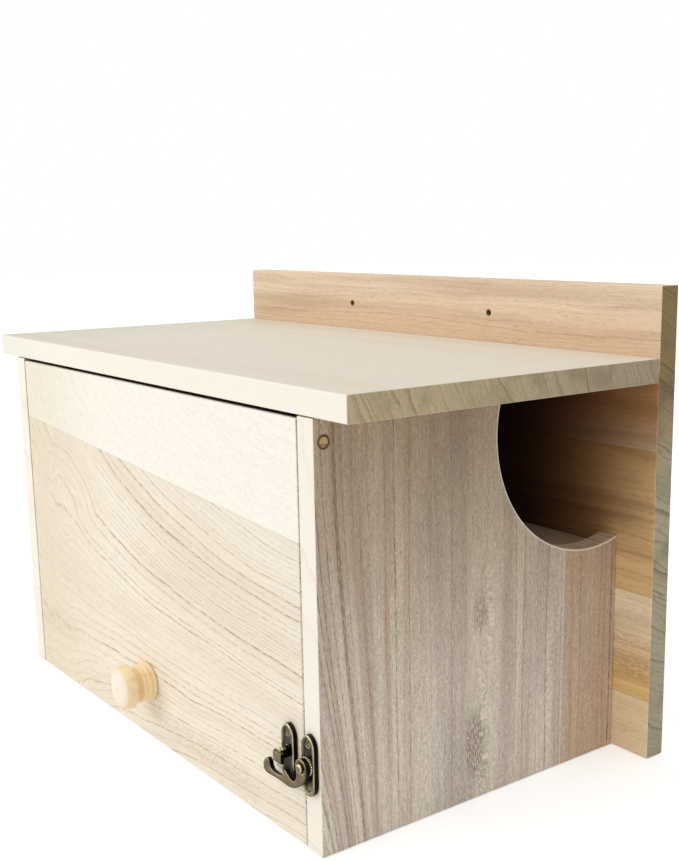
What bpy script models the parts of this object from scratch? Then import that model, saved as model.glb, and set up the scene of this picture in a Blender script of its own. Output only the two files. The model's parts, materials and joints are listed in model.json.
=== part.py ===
"""Wooden nest box with a side entrance, a hinged front door and a swing latch.

Metres, +Z up. The door faces -Y and the entrance is in the right side panel, at +X.
The origin is the centre of the floor's underside. Every board, pin, screw, dowel and
latch piece is its own object. The door turns on two pins near its top edge, and the
latch arm turns on a rivet at the lower right corner of the front.
"""
import math

import bmesh
import bpy
from mathutils import Matrix, Vector

# Case
BOX_WIDTH = 0.325
BOX_DEPTH = 0.1865
SIDE_HEIGHT = 0.195
SIDE_THICKNESS = 0.012
ROOF_THICKNESS = 0.012
ROOF_OVERHANG = 0.024
BACK_THICKNESS = 0.012
BACK_HEIGHT = 0.242
FLOOR_THICKNESS = 0.012
SEAT_GAP = 0.0003
CUT_OVERRUN = 0.002
BOARD_EDGE_ROUNDING = 0.0007

# Entrance, a round saw cut whose centre is set in from the top and back edges
ENTRANCE_RADIUS = 0.064
ENTRANCE_INSET_FROM_BACK = 0.0198
ENTRANCE_INSET_FROM_TOP = 0.0194

# Landing shelf inside the entrance
SHELF_LENGTH = 0.095
SHELF_DEPTH = 0.090
SHELF_THICKNESS = 0.012
SHELF_TOP_BELOW_ENTRANCE = 0.0025

# Mounting holes in the back board
MOUNT_HOLE_RADIUS = 0.002
MOUNT_HOLE_SPACING = 0.1292
MOUNT_HOLE_BELOW_TOP = 0.0186

# Door
DOOR_THICKNESS = 0.012
DOOR_SIDE_GAP = 0.0008
DOOR_TOP_GAP = 0.0018
DOOR_BOTTOM_GAP = 0.0005
DOOR_STOP_GAP = 0.0004

# Door pivot pins
PIVOT_RADIUS = 0.0027
PIVOT_CLEARANCE = 0.0002
PIVOT_SETBACK = 0.0052
PIVOT_BELOW_SIDE_TOP = 0.0102
PIVOT_REACH_IN_DOOR = 0.018

# Knob, turned from one piece and held by a screw from inside
KNOB_HEAD_RADIUS = 0.0118
KNOB_FOOT_RADIUS = 0.0103
KNOB_LENGTH = 0.0192
KNOB_HEIGHT = 0.0325
KNOB_SCREW_RADIUS = 0.0018
KNOB_SCREW_HEAD_RADIUS = 0.0042
KNOB_SCREW_HEAD_HEIGHT = 0.0024
KNOB_SCREW_GRIP = 0.012

# Latch
LATCH_HEIGHT = 0.0419
LATCH_PIVOT_IN_FROM_SIDE = 0.0065
STUD_FROM_PIVOT = 0.0160
PLATE_WIDTH = 0.0100
PLATE_HEIGHT = 0.0290
PLATE_THICKNESS = 0.0024
PLATE_BEVEL = 0.0009
PLATE_RIM = 0.0014
PLATE_RECESS = 0.0004
PLATE_ARCH_SHARE = 0.62
LATCH_SCREW_SPACING = 0.0210
LATCH_SCREW_RADIUS = 0.0009
LATCH_SCREW_HEAD_RADIUS = 0.0019
LATCH_SCREW_LENGTH = 0.0095
LATCH_SCREW_CLEARANCE = 0.0001
BOSS_RADIUS = 0.0040
BOSS_TOOTH = 0.0004
BOSS_HEIGHT = 0.0009
ARM_REACH = 0.0310
ARM_THICKNESS = 0.0023
ARM_BEVEL = 0.0005
ARM_EYE_RADIUS = 0.0042
RIVET_RADIUS = 0.0013
RIVET_HEAD_RADIUS = 0.0023
RIVET_HEAD_HEIGHT = 0.0012
RIVET_CLEARANCE = 0.0002
NECK_HALF_WIDTH = 0.0016
NECK_RISE = 0.0042
HEAD_WIDTH = 0.0068
HEAD_HEIGHT = 0.0052
HEAD_DEPTH = 0.0017
HEAD_BEVEL = 0.0007

# Screws through the back board, and dowels
BACK_SCREW_RADIUS = 0.0016
BACK_SCREW_HEAD_RADIUS = 0.0034
BACK_SCREW_LENGTH = 0.032
SCREW_CLEARANCE = 0.0003
SCREW_RIM_SHARE = 0.12
SCREW_TIP_SHARE = 0.2
RECESS_REACH_SHARE = 0.55
RECESS_WIDTH_SHARE = 0.13
RECESS_DEPTH_SHARE = 0.42
DOWEL_RADIUS = 0.003
DOWEL_EASE_SHARE = 0.25
DOWEL_LENGTH = 0.024
DOWEL_REACH_IN_FACE_BOARD = 0.0075
DOWEL_CLEARANCE = 0.0003

# Counts of facets
ROUND_SIDES = 16
SCREW_SIDES = 12
KNOB_SIDES = 32
ENTRANCE_STEPS = 32
PLATE_ARCH_STEPS = 8
NECK_STEPS = 8
EYE_STEPS = 28
CURVE_STEPS = 3
BOSS_TEETH = 16

# Angles in degrees
SHARP_ANGLE = 35
BEVEL_ANGLE = 40

# Planes and centre lines worked out from the sizes above
FRONT_Y = -BOX_DEPTH / 2
BACK_Y = BOX_DEPTH / 2
HALF_WIDTH = BOX_WIDTH / 2
INNER_HALF = HALF_WIDTH - SIDE_THICKNESS
ROOF_HALF = HALF_WIDTH + ROOF_OVERHANG
ROOF_BOTTOM = SIDE_HEIGHT + SEAT_GAP
ROOF_TOP = ROOF_BOTTOM + ROOF_THICKNESS
BACK_REAR_Y = BACK_Y + BACK_THICKNESS
SIDE_CENTRE_X = HALF_WIDTH - SIDE_THICKNESS / 2
FLOOR_FRONT_Y = FRONT_Y + DOOR_THICKNESS + DOOR_STOP_GAP
ENTRANCE_Y = BACK_Y - ENTRANCE_INSET_FROM_BACK
ENTRANCE_Z = SIDE_HEIGHT - ENTRANCE_INSET_FROM_TOP
SHELF_TOP = ENTRANCE_Z - ENTRANCE_RADIUS - SHELF_TOP_BELOW_ENTRANCE
SHELF_RIGHT = INNER_HALF - SEAT_GAP
SHELF_LEFT = SHELF_RIGHT - SHELF_LENGTH
SHELF_BACK = BACK_Y - SEAT_GAP
SHELF_CENTRE_Z = SHELF_TOP - SHELF_THICKNESS / 2
DOOR_HALF = INNER_HALF - DOOR_SIDE_GAP
DOOR_TOP = ROOF_BOTTOM - DOOR_TOP_GAP
DOOR_REAR_Y = FRONT_Y + DOOR_THICKNESS
PIVOT_Y = FRONT_Y + PIVOT_SETBACK
PIVOT_Z = SIDE_HEIGHT - PIVOT_BELOW_SIDE_TOP
LATCH_X = HALF_WIDTH - LATCH_PIVOT_IN_FROM_SIDE
STUD_X = LATCH_X - STUD_FROM_PIVOT
PLATE_BACK_Y = FRONT_Y - SEAT_GAP
PLATE_FRONT_Y = PLATE_BACK_Y - PLATE_THICKNESS
PLATE_FIELD_Y = PLATE_FRONT_Y + PLATE_RECESS
BOSS_FRONT_Y = PLATE_FRONT_Y - BOSS_HEIGHT
ARM_BACK_Y = BOSS_FRONT_Y - SEAT_GAP
ARM_FRONT_Y = ARM_BACK_Y - ARM_THICKNESS
HEAD_BACK_Y = ARM_FRONT_Y - SEAT_GAP
HEAD_FRONT_Y = HEAD_BACK_Y - HEAD_DEPTH

# Colours as (red, green, blue), roughness and metallic value
PALE_WOOD = ((0.83, 0.74, 0.58), 0.62, 0.0)
SIDE_WOOD = ((0.52, 0.42, 0.32), 0.66, 0.0)
BACK_WOOD = ((0.66, 0.51, 0.34), 0.66, 0.0)
KNOB_WOOD = ((0.80, 0.66, 0.45), 0.50, 0.0)
DOWEL_WOOD = ((0.62, 0.46, 0.30), 0.60, 0.0)
OLD_BRASS = ((0.21, 0.16, 0.07), 0.35, 1.0)
ZINC = ((0.62, 0.62, 0.60), 0.35, 1.0)

AXIS_X = Vector((1, 0, 0))
AXIS_Y = Vector((0, 1, 0))
AXIS_Z = Vector((0, 0, 1))


def clear_scene():
    """Remove every object that the file opened with."""
    for obj in list(bpy.data.objects):
        bpy.data.objects.remove(obj, do_unlink=True)


def material(name, finish):
    """Principled material from a colour, a roughness and a metallic value."""
    colour, roughness, metallic = finish
    made = bpy.data.materials.new(name)
    made.use_nodes = True
    shader = made.node_tree.nodes["Principled BSDF"]
    shader.inputs["Base Color"].default_value = (*colour, 1)
    shader.inputs["Roughness"].default_value = roughness
    shader.inputs["Metallic"].default_value = metallic
    return made


def object_from(bm, name, finish, origin=(0, 0, 0), smooth=False):
    """Turn a bmesh in world coordinates into an object whose origin is at the given point."""
    bmesh.ops.recalc_face_normals(bm, faces=bm.faces)
    bmesh.ops.translate(bm, verts=bm.verts, vec=-Vector(origin))
    mesh = bpy.data.meshes.new(name)
    bm.to_mesh(mesh)
    bm.free()
    if smooth:
        mesh.shade_smooth()
        mesh.set_sharp_from_angle(angle=math.radians(SHARP_ANGLE))
    obj = bpy.data.objects.new(name, mesh)
    obj.location = origin
    bpy.context.scene.collection.objects.link(obj)
    if finish:
        mesh.materials.append(material(name + "_finish", finish))
    return obj


def round_edges(obj, width, segments=2):
    """Ease the sharp edges with a Bevel modifier."""
    bevel = obj.modifiers.new("eased edges", "BEVEL")
    bevel.width = width
    bevel.segments = segments
    bevel.limit_method = "ANGLE"
    bevel.angle_limit = math.radians(BEVEL_ANGLE)
    bevel.use_clamp_overlap = True


def add_box(bm, low, high):
    """Add a closed box between two corners."""
    low = Vector(low)
    high = Vector(high)
    place = Matrix.Translation((low + high) / 2) @ Matrix.Diagonal((*(high - low), 1))
    bmesh.ops.create_cube(bm, size=1, matrix=place)


def board(name, low, high, finish, origin=(0, 0, 0)):
    """A planed board with eased edges."""
    bm = bmesh.new()
    add_box(bm, low, high)
    obj = object_from(bm, name, finish, origin)
    round_edges(obj, BOARD_EDGE_ROUNDING)
    return obj


def add_prism(bm, outline, place):
    """Add a closed prism. The outline is a list of (u, v), and place(u, v, end) gives the
    world point at the near end, 0, or the far end, 1."""
    near = [bm.verts.new(place(u, v, 0)) for u, v in outline]
    far = [bm.verts.new(place(u, v, 1)) for u, v in outline]
    bm.faces.new(near)
    bm.faces.new(list(reversed(far)))
    count = len(outline)
    for i in range(count):
        j = (i + 1) % count
        bm.faces.new((near[j], near[i], far[i], far[j]))


def across_y(centre_x, centre_z, near_y, far_y):
    """Place outline points in the front view, between two depths."""
    def place(u, v, end):
        return (centre_x + u, far_y if end else near_y, centre_z + v)
    return place


def across_x(near_x, far_x):
    """Place outline points in the side view, between two widths."""
    def place(u, v, end):
        return (far_x if end else near_x, u, v)
    return place


def arc(centre, radius, start, end, steps):
    """Points along an arc, in degrees, both ends included."""
    points = []
    for i in range(steps + 1):
        angle = math.radians(start + (end - start) * i / steps)
        points.append((centre[0] + radius * math.cos(angle), centre[1] + radius * math.sin(angle)))
    return points


def add_turned(bm, profile, base, direction, sides):
    """Add a closed turned solid. The profile is a list of (distance, radius) along the
    direction from the base, and it starts and ends on the axis."""
    direction = Vector(direction).normalized()
    turn = AXIS_Z.rotation_difference(direction).to_matrix()
    rings = []
    for distance, radius in profile:
        if radius == 0:
            rings.append([bm.verts.new(Vector(base) + direction * distance)])
            continue
        ring = []
        for i in range(sides):
            angle = 2 * math.pi * i / sides
            point = Vector((radius * math.cos(angle), radius * math.sin(angle), distance))
            ring.append(bm.verts.new(Vector(base) + turn @ point))
        rings.append(ring)
    for first, second in zip(rings, rings[1:]):
        for i in range(sides):
            j = (i + 1) % sides
            corners = [first[i % len(first)], first[j % len(first)]]
            corners += [second[j % len(second)], second[i % len(second)]]
            kept = list(dict.fromkeys(corners))
            if len(kept) > 2:
                bm.faces.new(kept)


def turned(name, profile, base, direction, finish, sides, origin=None):
    """One turned object, shaded smooth, with its origin at its base."""
    bm = bmesh.new()
    add_turned(bm, profile, base, direction, sides)
    return object_from(bm, name, finish, base if origin is None else origin, smooth=True)


def cut(target, bm, name):
    """Cut a cutter's solids out of an object."""
    cutter = object_from(bm, name, None)
    cutter.hide_render = True
    cutter.display_type = "WIRE"
    boolean = target.modifiers.new(name, "BOOLEAN")
    boolean.operation = "DIFFERENCE"
    boolean.solver = "EXACT"
    boolean.object = cutter


def join(target, bm, name):
    """Join a helper solid to an object, so that both become one casting."""
    helper = object_from(bm, name, None)
    helper.hide_render = True
    helper.display_type = "WIRE"
    boolean = target.modifiers.new(name, "BOOLEAN")
    boolean.operation = "UNION"
    boolean.solver = "EXACT"
    boolean.object = helper


def add_bore(bm, mouth, direction, radius, depth):
    """Add a plain round cutter that starts outside the mouth of its hole."""
    direction = Vector(direction)
    start = Vector(mouth) - direction * CUT_OVERRUN
    length = depth + CUT_OVERRUN
    profile = [(0, 0), (0, radius), (length, radius), (length, 0)]
    add_turned(bm, profile, start, direction, ROUND_SIDES)


def add_countersink(bm, mouth, direction, head_radius, shank_radius, depth, clearance):
    """Add a cutter for a countersunk screw whose head is flush with the mouth."""
    direction = Vector(direction)
    start = Vector(mouth) - direction * CUT_OVERRUN
    wide = head_radius + clearance
    narrow = shank_radius + clearance
    rim = CUT_OVERRUN + head_radius * SCREW_RIM_SHARE + clearance
    length = depth + CUT_OVERRUN
    profile = [(0, 0), (0, wide), (rim, wide), (rim + wide - narrow, narrow)]
    profile += [(length, narrow), (length, 0)]
    add_turned(bm, profile, start, direction, SCREW_SIDES)


def screw(name, mouth, direction, head_radius, shank_radius, length, finish):
    """A countersunk wood screw with a cross recess, its head flush with the mouth."""
    rim = head_radius * SCREW_RIM_SHARE
    taper = head_radius - shank_radius
    profile = [(0, 0), (0, head_radius), (rim, head_radius), (rim + taper, shank_radius)]
    profile += [(length * (1 - SCREW_TIP_SHARE), shank_radius), (length, 0)]
    obj = turned(name, profile, mouth, direction, finish, SCREW_SIDES)
    turn = AXIS_Z.rotation_difference(Vector(direction)).to_matrix().to_4x4()
    bm = bmesh.new()
    add_cross(bm, head_radius * RECESS_REACH_SHARE, head_radius * RECESS_WIDTH_SHARE,
              head_radius * RECESS_DEPTH_SHARE)
    bmesh.ops.transform(bm, matrix=Matrix.Translation(mouth) @ turn, verts=bm.verts)
    cut(obj, bm, name + "_recess")
    return obj


def add_cross(bm, reach, half_width, depth):
    """Add a cross-shaped prism round the Z axis, from above its mouth down to the depth."""
    corner = [(half_width, half_width), (half_width, reach), (-half_width, reach)]
    outline = []
    for quarter in range(4):
        turn = Matrix.Rotation(quarter * math.pi / 2, 2)
        outline += [tuple(turn @ Vector(point)) for point in corner]

    def place(u, v, end):
        return (u, v, depth if end else -CUT_OVERRUN)
    add_prism(bm, outline, place)


def back_screw_places():
    """Names and places of the screws that hold the back board, with what each one enters."""
    left_shares = (0.14, 0.47, 0.82)
    right_shares = (0.14, 0.47)
    floor_shares = (-0.72, 0.0, 0.72)
    roof_shares = (-0.78, 0.0, 0.78)
    shelf_shares = (0.25, 0.75)
    places = []
    for i, share in enumerate(left_shares):
        places.append((f"back_screw_left_{i + 1}", -SIDE_CENTRE_X, SIDE_HEIGHT * share, "left"))
    for i, share in enumerate(right_shares):
        places.append((f"back_screw_right_{i + 1}", SIDE_CENTRE_X, SIDE_HEIGHT * share, "right"))
    for i, share in enumerate(floor_shares):
        places.append((f"back_screw_floor_{i + 1}", INNER_HALF * share, FLOOR_THICKNESS / 2, "floor"))
    for i, share in enumerate(roof_shares):
        z = ROOF_BOTTOM + ROOF_THICKNESS / 2
        places.append((f"back_screw_roof_{i + 1}", HALF_WIDTH * share, z, "roof"))
    for i, share in enumerate(shelf_shares):
        x = SHELF_LEFT + SHELF_LENGTH * share
        places.append((f"back_screw_shelf_{i + 1}", x, SHELF_CENTRE_Z, "shelf"))
    return places


def dowel_places():
    """Name, end inside the face board, direction and the board that each dowel enters."""
    left_shares = (0.14, 0.46, 0.88)
    right_shares = (0.14, 0.46)
    floor_shares = (0.25, 0.75)
    shelf_shares = (0.22, 0.78)
    places = []
    roof_end = ROOF_BOTTOM + DOWEL_REACH_IN_FACE_BOARD
    for side, sign, shares in (("left", -1, left_shares), ("right", 1, right_shares)):
        for i, share in enumerate(shares):
            start = Vector((sign * SIDE_CENTRE_X, FRONT_Y + BOX_DEPTH * share, roof_end))
            places.append((f"roof_dowel_{side}_{i + 1}", start, -AXIS_Z, "roof", side))
        side_end = sign * (INNER_HALF + DOWEL_REACH_IN_FACE_BOARD)
        for i, share in enumerate(floor_shares):
            y = FLOOR_FRONT_Y + (BACK_Y - FLOOR_FRONT_Y) * share
            start = Vector((side_end, y, FLOOR_THICKNESS / 2))
            places.append((f"floor_dowel_{side}_{i + 1}", start, -sign * AXIS_X, side, "floor"))
    for i, share in enumerate(shelf_shares):
        y = SHELF_BACK - SHELF_DEPTH * share
        start = Vector((INNER_HALF + DOWEL_REACH_IN_FACE_BOARD, y, SHELF_CENTRE_Z))
        places.append((f"shelf_dowel_{i + 1}", start, -AXIS_X, "right", "shelf"))
    return places


def add_dowel_holes(bm, board_key):
    """Add the blind dowel holes of one board to its cutter."""
    radius = DOWEL_RADIUS + DOWEL_CLEARANCE
    for _, start, direction, face_board, edge_board in dowel_places():
        joint = start + direction * DOWEL_REACH_IN_FACE_BOARD
        if face_board == board_key:
            depth = DOWEL_REACH_IN_FACE_BOARD + DOWEL_CLEARANCE
            add_bore(bm, joint, -direction, radius, depth)
        if edge_board == board_key:
            depth = DOWEL_LENGTH - DOWEL_REACH_IN_FACE_BOARD + DOWEL_CLEARANCE
            add_bore(bm, joint, direction, radius, depth)


def add_screw_pilots(bm, board_key):
    """Add the holes that the back screws fill in one board, bored from its rear edge."""
    radius = BACK_SCREW_RADIUS + SCREW_CLEARANCE
    depth = BACK_SCREW_LENGTH - BACK_THICKNESS + CUT_OVERRUN
    for _, x, z, entered in back_screw_places():
        if entered == board_key:
            add_bore(bm, (x, BACK_Y, z), -AXIS_Y, radius, depth)


def cut_fastener_holes(target, board_key):
    """Cut the dowel holes and screw holes of one board."""
    bm = bmesh.new()
    add_dowel_holes(bm, board_key)
    add_screw_pilots(bm, board_key)
    cut(target, bm, target.name + "_fastener_holes")


def make_roof():
    """Flat roof board, flush with the front and butted against the back board."""
    low = (-ROOF_HALF, FRONT_Y, ROOF_BOTTOM)
    high = (ROOF_HALF, BACK_Y - SEAT_GAP, ROOF_TOP)
    roof = board("roof_panel", low, high, PALE_WOOD)
    cut_fastener_holes(roof, "roof")


def make_back():
    """Back board, as wide as the roof and taller than it, with two holes to hang it by."""
    low = (-ROOF_HALF, BACK_Y, 0)
    high = (ROOF_HALF, BACK_REAR_Y, BACK_HEIGHT)
    back = board("back_panel", low, high, BACK_WOOD)
    bm = bmesh.new()
    for side in (-1, 1):
        mouth = (side * MOUNT_HOLE_SPACING / 2, BACK_Y, BACK_HEIGHT - MOUNT_HOLE_BELOW_TOP)
        add_bore(bm, mouth, AXIS_Y, MOUNT_HOLE_RADIUS, BACK_THICKNESS + CUT_OVERRUN)
    for _, x, z, _ in back_screw_places():
        add_countersink(bm, (x, BACK_REAR_Y, z), -AXIS_Y, BACK_SCREW_HEAD_RADIUS, BACK_SCREW_RADIUS,
                        BACK_THICKNESS + CUT_OVERRUN, SCREW_CLEARANCE)
    cut(back, bm, "back_panel_holes")


def entrance_arc():
    """The saw cut of the entrance in the side view, from the back edge up to the top edge."""
    drop = math.sqrt(ENTRANCE_RADIUS ** 2 - (ENTRANCE_INSET_FROM_BACK - SEAT_GAP) ** 2)
    reach = math.sqrt(ENTRANCE_RADIUS ** 2 - ENTRANCE_INSET_FROM_TOP ** 2)
    start = -math.degrees(math.atan2(drop, ENTRANCE_INSET_FROM_BACK - SEAT_GAP))
    end = -360 + math.degrees(math.atan2(ENTRANCE_INSET_FROM_TOP, -reach))
    return arc((ENTRANCE_Y, ENTRANCE_Z), ENTRANCE_RADIUS, start, end, ENTRANCE_STEPS)


def make_side(name, sign, with_entrance, board_key):
    """Side panel with its pivot hole. The right one has the entrance sawn out of its corner."""
    rear = BACK_Y - SEAT_GAP
    outline = [(FRONT_Y, 0), (rear, 0)]
    outline += entrance_arc() if with_entrance else [(rear, SIDE_HEIGHT)]
    outline.append((FRONT_Y, SIDE_HEIGHT))
    bm = bmesh.new()
    add_prism(bm, outline, across_x(sign * INNER_HALF, sign * HALF_WIDTH))
    side = object_from(bm, name, SIDE_WOOD)
    round_edges(side, BOARD_EDGE_ROUNDING)
    bm = bmesh.new()
    mouth = (sign * INNER_HALF, PIVOT_Y, PIVOT_Z)
    depth = SIDE_THICKNESS + CUT_OVERRUN
    add_bore(bm, mouth, sign * AXIS_X, PIVOT_RADIUS + PIVOT_CLEARANCE, depth)
    add_dowel_holes(bm, board_key)
    add_screw_pilots(bm, board_key)
    if sign > 0:
        add_latch_pilots(bm, LATCH_X)
    cut(side, bm, name + "_holes")


def make_floor():
    """Floor board between the sides. The closed door rests on its front edge."""
    low = (-INNER_HALF + SEAT_GAP, FLOOR_FRONT_Y, 0)
    high = (INNER_HALF - SEAT_GAP, BACK_Y - SEAT_GAP, FLOOR_THICKNESS)
    cut_fastener_holes(board("floor_panel", low, high, PALE_WOOD), "floor")


def make_shelf():
    """Short landing shelf just below the entrance, fixed to the right side and the back."""
    low = (SHELF_LEFT, SHELF_BACK - SHELF_DEPTH, SHELF_TOP - SHELF_THICKNESS)
    high = (SHELF_RIGHT, SHELF_BACK, SHELF_TOP)
    cut_fastener_holes(board("landing_shelf", low, high, PALE_WOOD), "shelf")


def latch_screw_heights():
    """Heights of the lower and the upper screw of a latch plate."""
    return (LATCH_HEIGHT - LATCH_SCREW_SPACING / 2, LATCH_HEIGHT + LATCH_SCREW_SPACING / 2)


def add_latch_pilots(bm, x):
    """Add the screw holes of one latch plate to the cutter of the wood behind it."""
    depth = LATCH_SCREW_LENGTH - PLATE_THICKNESS + CUT_OVERRUN
    for z in latch_screw_heights():
        add_bore(bm, (x, FRONT_Y, z), AXIS_Y, LATCH_SCREW_RADIUS + SCREW_CLEARANCE, depth)


def make_door():
    """Front door between the side panels. Its origin is on the pivot line."""
    low = (-DOOR_HALF, FRONT_Y, DOOR_BOTTOM_GAP)
    high = (DOOR_HALF, DOOR_REAR_Y, DOOR_TOP)
    door = board("door_panel", low, high, PALE_WOOD, (0, PIVOT_Y, PIVOT_Z))
    bm = bmesh.new()
    depth = PIVOT_REACH_IN_DOOR + PIVOT_CLEARANCE + CUT_OVERRUN
    for sign in (-1, 1):
        mouth = (sign * DOOR_HALF, PIVOT_Y, PIVOT_Z)
        add_bore(bm, mouth, -sign * AXIS_X, PIVOT_RADIUS + PIVOT_CLEARANCE, depth)
    add_bore(bm, (0, DOOR_REAR_Y, KNOB_HEIGHT), -AXIS_Y, KNOB_SCREW_RADIUS + SCREW_CLEARANCE,
             DOOR_THICKNESS + CUT_OVERRUN)
    add_latch_pilots(bm, STUD_X)
    cut(door, bm, "door_panel_holes")


def make_pivot_pins():
    """Hinge pins, flush with the outer faces of the sides and reaching into the door's edges."""
    for name, sign in (("left_pivot_pin", -1), ("right_pivot_pin", 1)):
        length = HALF_WIDTH - DOOR_HALF + PIVOT_REACH_IN_DOOR
        profile = [(0, 0), (0, PIVOT_RADIUS), (length, PIVOT_RADIUS), (length, 0)]
        base = (sign * HALF_WIDTH, PIVOT_Y, PIVOT_Z)
        turned(name, profile, base, -sign * AXIS_X, DOWEL_WOOD, ROUND_SIDES)


def knob_profile():
    """Turned outline of the knob: a foot with three rings, a neck, and a wide head whose face
    is a flat dome. The rings are shares of the foot's radius, the rest of the head's."""
    foot_shares = [
        (0.00, 0.98), (0.02, 1.00), (0.095, 1.00), (0.12, 0.93), (0.165, 0.99), (0.225, 0.99),
        (0.275, 0.90), (0.325, 0.97), (0.37, 0.95), (0.395, 0.87),
    ]
    head_shares = [
        (0.42, 0.66), (0.45, 0.61), (0.48, 0.61), (0.51, 0.67), (0.54, 0.78), (0.57, 0.88),
        (0.60, 0.95), (0.635, 0.99), (0.67, 1.00), (0.72, 0.995), (0.78, 0.975), (0.835, 0.93),
        (0.885, 0.875), (0.925, 0.77), (0.95, 0.67), (0.975, 0.48), (0.99, 0.27),
    ]
    profile = [(0, 0)]
    for radius, shares in ((KNOB_FOOT_RADIUS, foot_shares), (KNOB_HEAD_RADIUS, head_shares)):
        profile += [(KNOB_LENGTH * along_share, radius * out_share) for along_share, out_share in shares]
    profile.append((KNOB_LENGTH, 0))
    return profile


def make_knob():
    """Wooden knob on the door and the pan head screw that holds it from inside."""
    base = (0, FRONT_Y - SEAT_GAP, KNOB_HEIGHT)
    knob = turned("door_knob", knob_profile(), base, -AXIS_Y, KNOB_WOOD, KNOB_SIDES)
    bm = bmesh.new()
    radius = KNOB_SCREW_RADIUS + SCREW_CLEARANCE
    add_bore(bm, base, -AXIS_Y, radius, KNOB_SCREW_GRIP + SCREW_CLEARANCE)
    cut(knob, bm, "door_knob_bore")
    start = DOOR_REAR_Y + SEAT_GAP + KNOB_SCREW_HEAD_HEIGHT
    shank_end = KNOB_SCREW_HEAD_HEIGHT + SEAT_GAP + DOOR_THICKNESS + KNOB_SCREW_GRIP
    head = KNOB_SCREW_HEAD_RADIUS
    height = KNOB_SCREW_HEAD_HEIGHT
    head_shares = ((0.0, 0.55), (0.12, 0.78), (0.38, 0.95), (0.7, 1.0), (1.0, 1.0))
    profile = [(0, 0)]
    profile += [(height * along_share, head * radius_share) for along_share, radius_share in head_shares]
    profile += [(height, KNOB_SCREW_RADIUS), (shank_end, KNOB_SCREW_RADIUS), (shank_end, 0)]
    pin = turned("knob_screw", profile, (0, start, KNOB_HEIGHT), -AXIS_Y, ZINC, SCREW_SIDES)
    bm = bmesh.new()
    add_cross(bm, head * RECESS_REACH_SHARE, head * RECESS_WIDTH_SHARE, height * RECESS_DEPTH_SHARE)
    turn = AXIS_Z.rotation_difference(-AXIS_Y).to_matrix().to_4x4()
    place = Matrix.Translation((0, start, KNOB_HEIGHT)) @ turn
    bmesh.ops.transform(bm, matrix=place, verts=bm.verts)
    cut(pin, bm, "knob_screw_recess")


def plate_outline(inset):
    """Latch plate in the front view: straight sides with pointed arches at both ends. An inset
    of zero gives its edge, and a wider one the edge of the field inside its rim."""
    half = PLATE_WIDTH / 2
    arch_radius = PLATE_WIDTH * PLATE_ARCH_SHARE
    centre = arch_radius - half
    shoulder = PLATE_HEIGHT / 2 - math.sqrt(arch_radius ** 2 - centre ** 2)
    radius = arch_radius - inset
    apex = math.degrees(math.acos(centre / radius))
    top = arc((-centre, shoulder), radius, 0, apex, PLATE_ARCH_STEPS)
    top += arc((centre, shoulder), radius, 180 - apex, 180, PLATE_ARCH_STEPS)[1:]
    bottom = [(-u, -v) for u, v in top]
    return top + bottom


def make_plate(name, x):
    """Cast latch plate with a beveled border and a field that lies lower than its rim. Its holes
    for two countersunk screws are cut last."""
    bm = bmesh.new()
    add_prism(bm, plate_outline(0), across_y(x, LATCH_HEIGHT, PLATE_BACK_Y, PLATE_FRONT_Y))
    plate = object_from(bm, name, OLD_BRASS)
    round_edges(plate, PLATE_BEVEL)
    bm = bmesh.new()
    outside = PLATE_FRONT_Y - CUT_OVERRUN
    add_prism(bm, plate_outline(PLATE_RIM), across_y(x, LATCH_HEIGHT, PLATE_FIELD_Y, outside))
    cut(plate, bm, name + "_field")
    return plate


def cut_plate_holes(plate, x):
    """Cut the two countersunk screw holes of a latch plate."""
    bm = bmesh.new()
    for z in latch_screw_heights():
        add_countersink(bm, (x, PLATE_FIELD_Y, z), AXIS_Y, LATCH_SCREW_HEAD_RADIUS, LATCH_SCREW_RADIUS,
                        PLATE_THICKNESS + CUT_OVERRUN, LATCH_SCREW_CLEARANCE)
    cut(plate, bm, plate.name + "_screw_holes")


def make_door_plate():
    """Plate on the door with its stud: an upright neck and a block head in front of the arm."""
    plate = make_plate("latch_door_plate", STUD_X)
    inside_plate = PLATE_FRONT_Y + PLATE_THICKNESS / 2
    inside_head = HEAD_BACK_Y - HEAD_DEPTH / 2
    neck = arc((0, 0), NECK_HALF_WIDTH, 180, 360, NECK_STEPS)
    neck += arc((0, NECK_RISE - NECK_HALF_WIDTH), NECK_HALF_WIDTH, 0, 180, NECK_STEPS)
    bm = bmesh.new()
    add_prism(bm, neck, across_y(STUD_X, LATCH_HEIGHT, inside_plate, inside_head))
    join(plate, bm, "stud_neck")
    bm = bmesh.new()
    low = (STUD_X - HEAD_WIDTH / 2, HEAD_FRONT_Y, LATCH_HEIGHT - HEAD_HEIGHT / 2)
    high = (STUD_X + HEAD_WIDTH / 2, HEAD_BACK_Y, LATCH_HEIGHT + HEAD_HEIGHT / 2)
    add_box(bm, low, high)
    join(plate, bm, "stud_head")
    head = bpy.data.objects["stud_head"]
    round_edges(head, HEAD_BEVEL)
    cut_plate_holes(plate, STUD_X)


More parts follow.
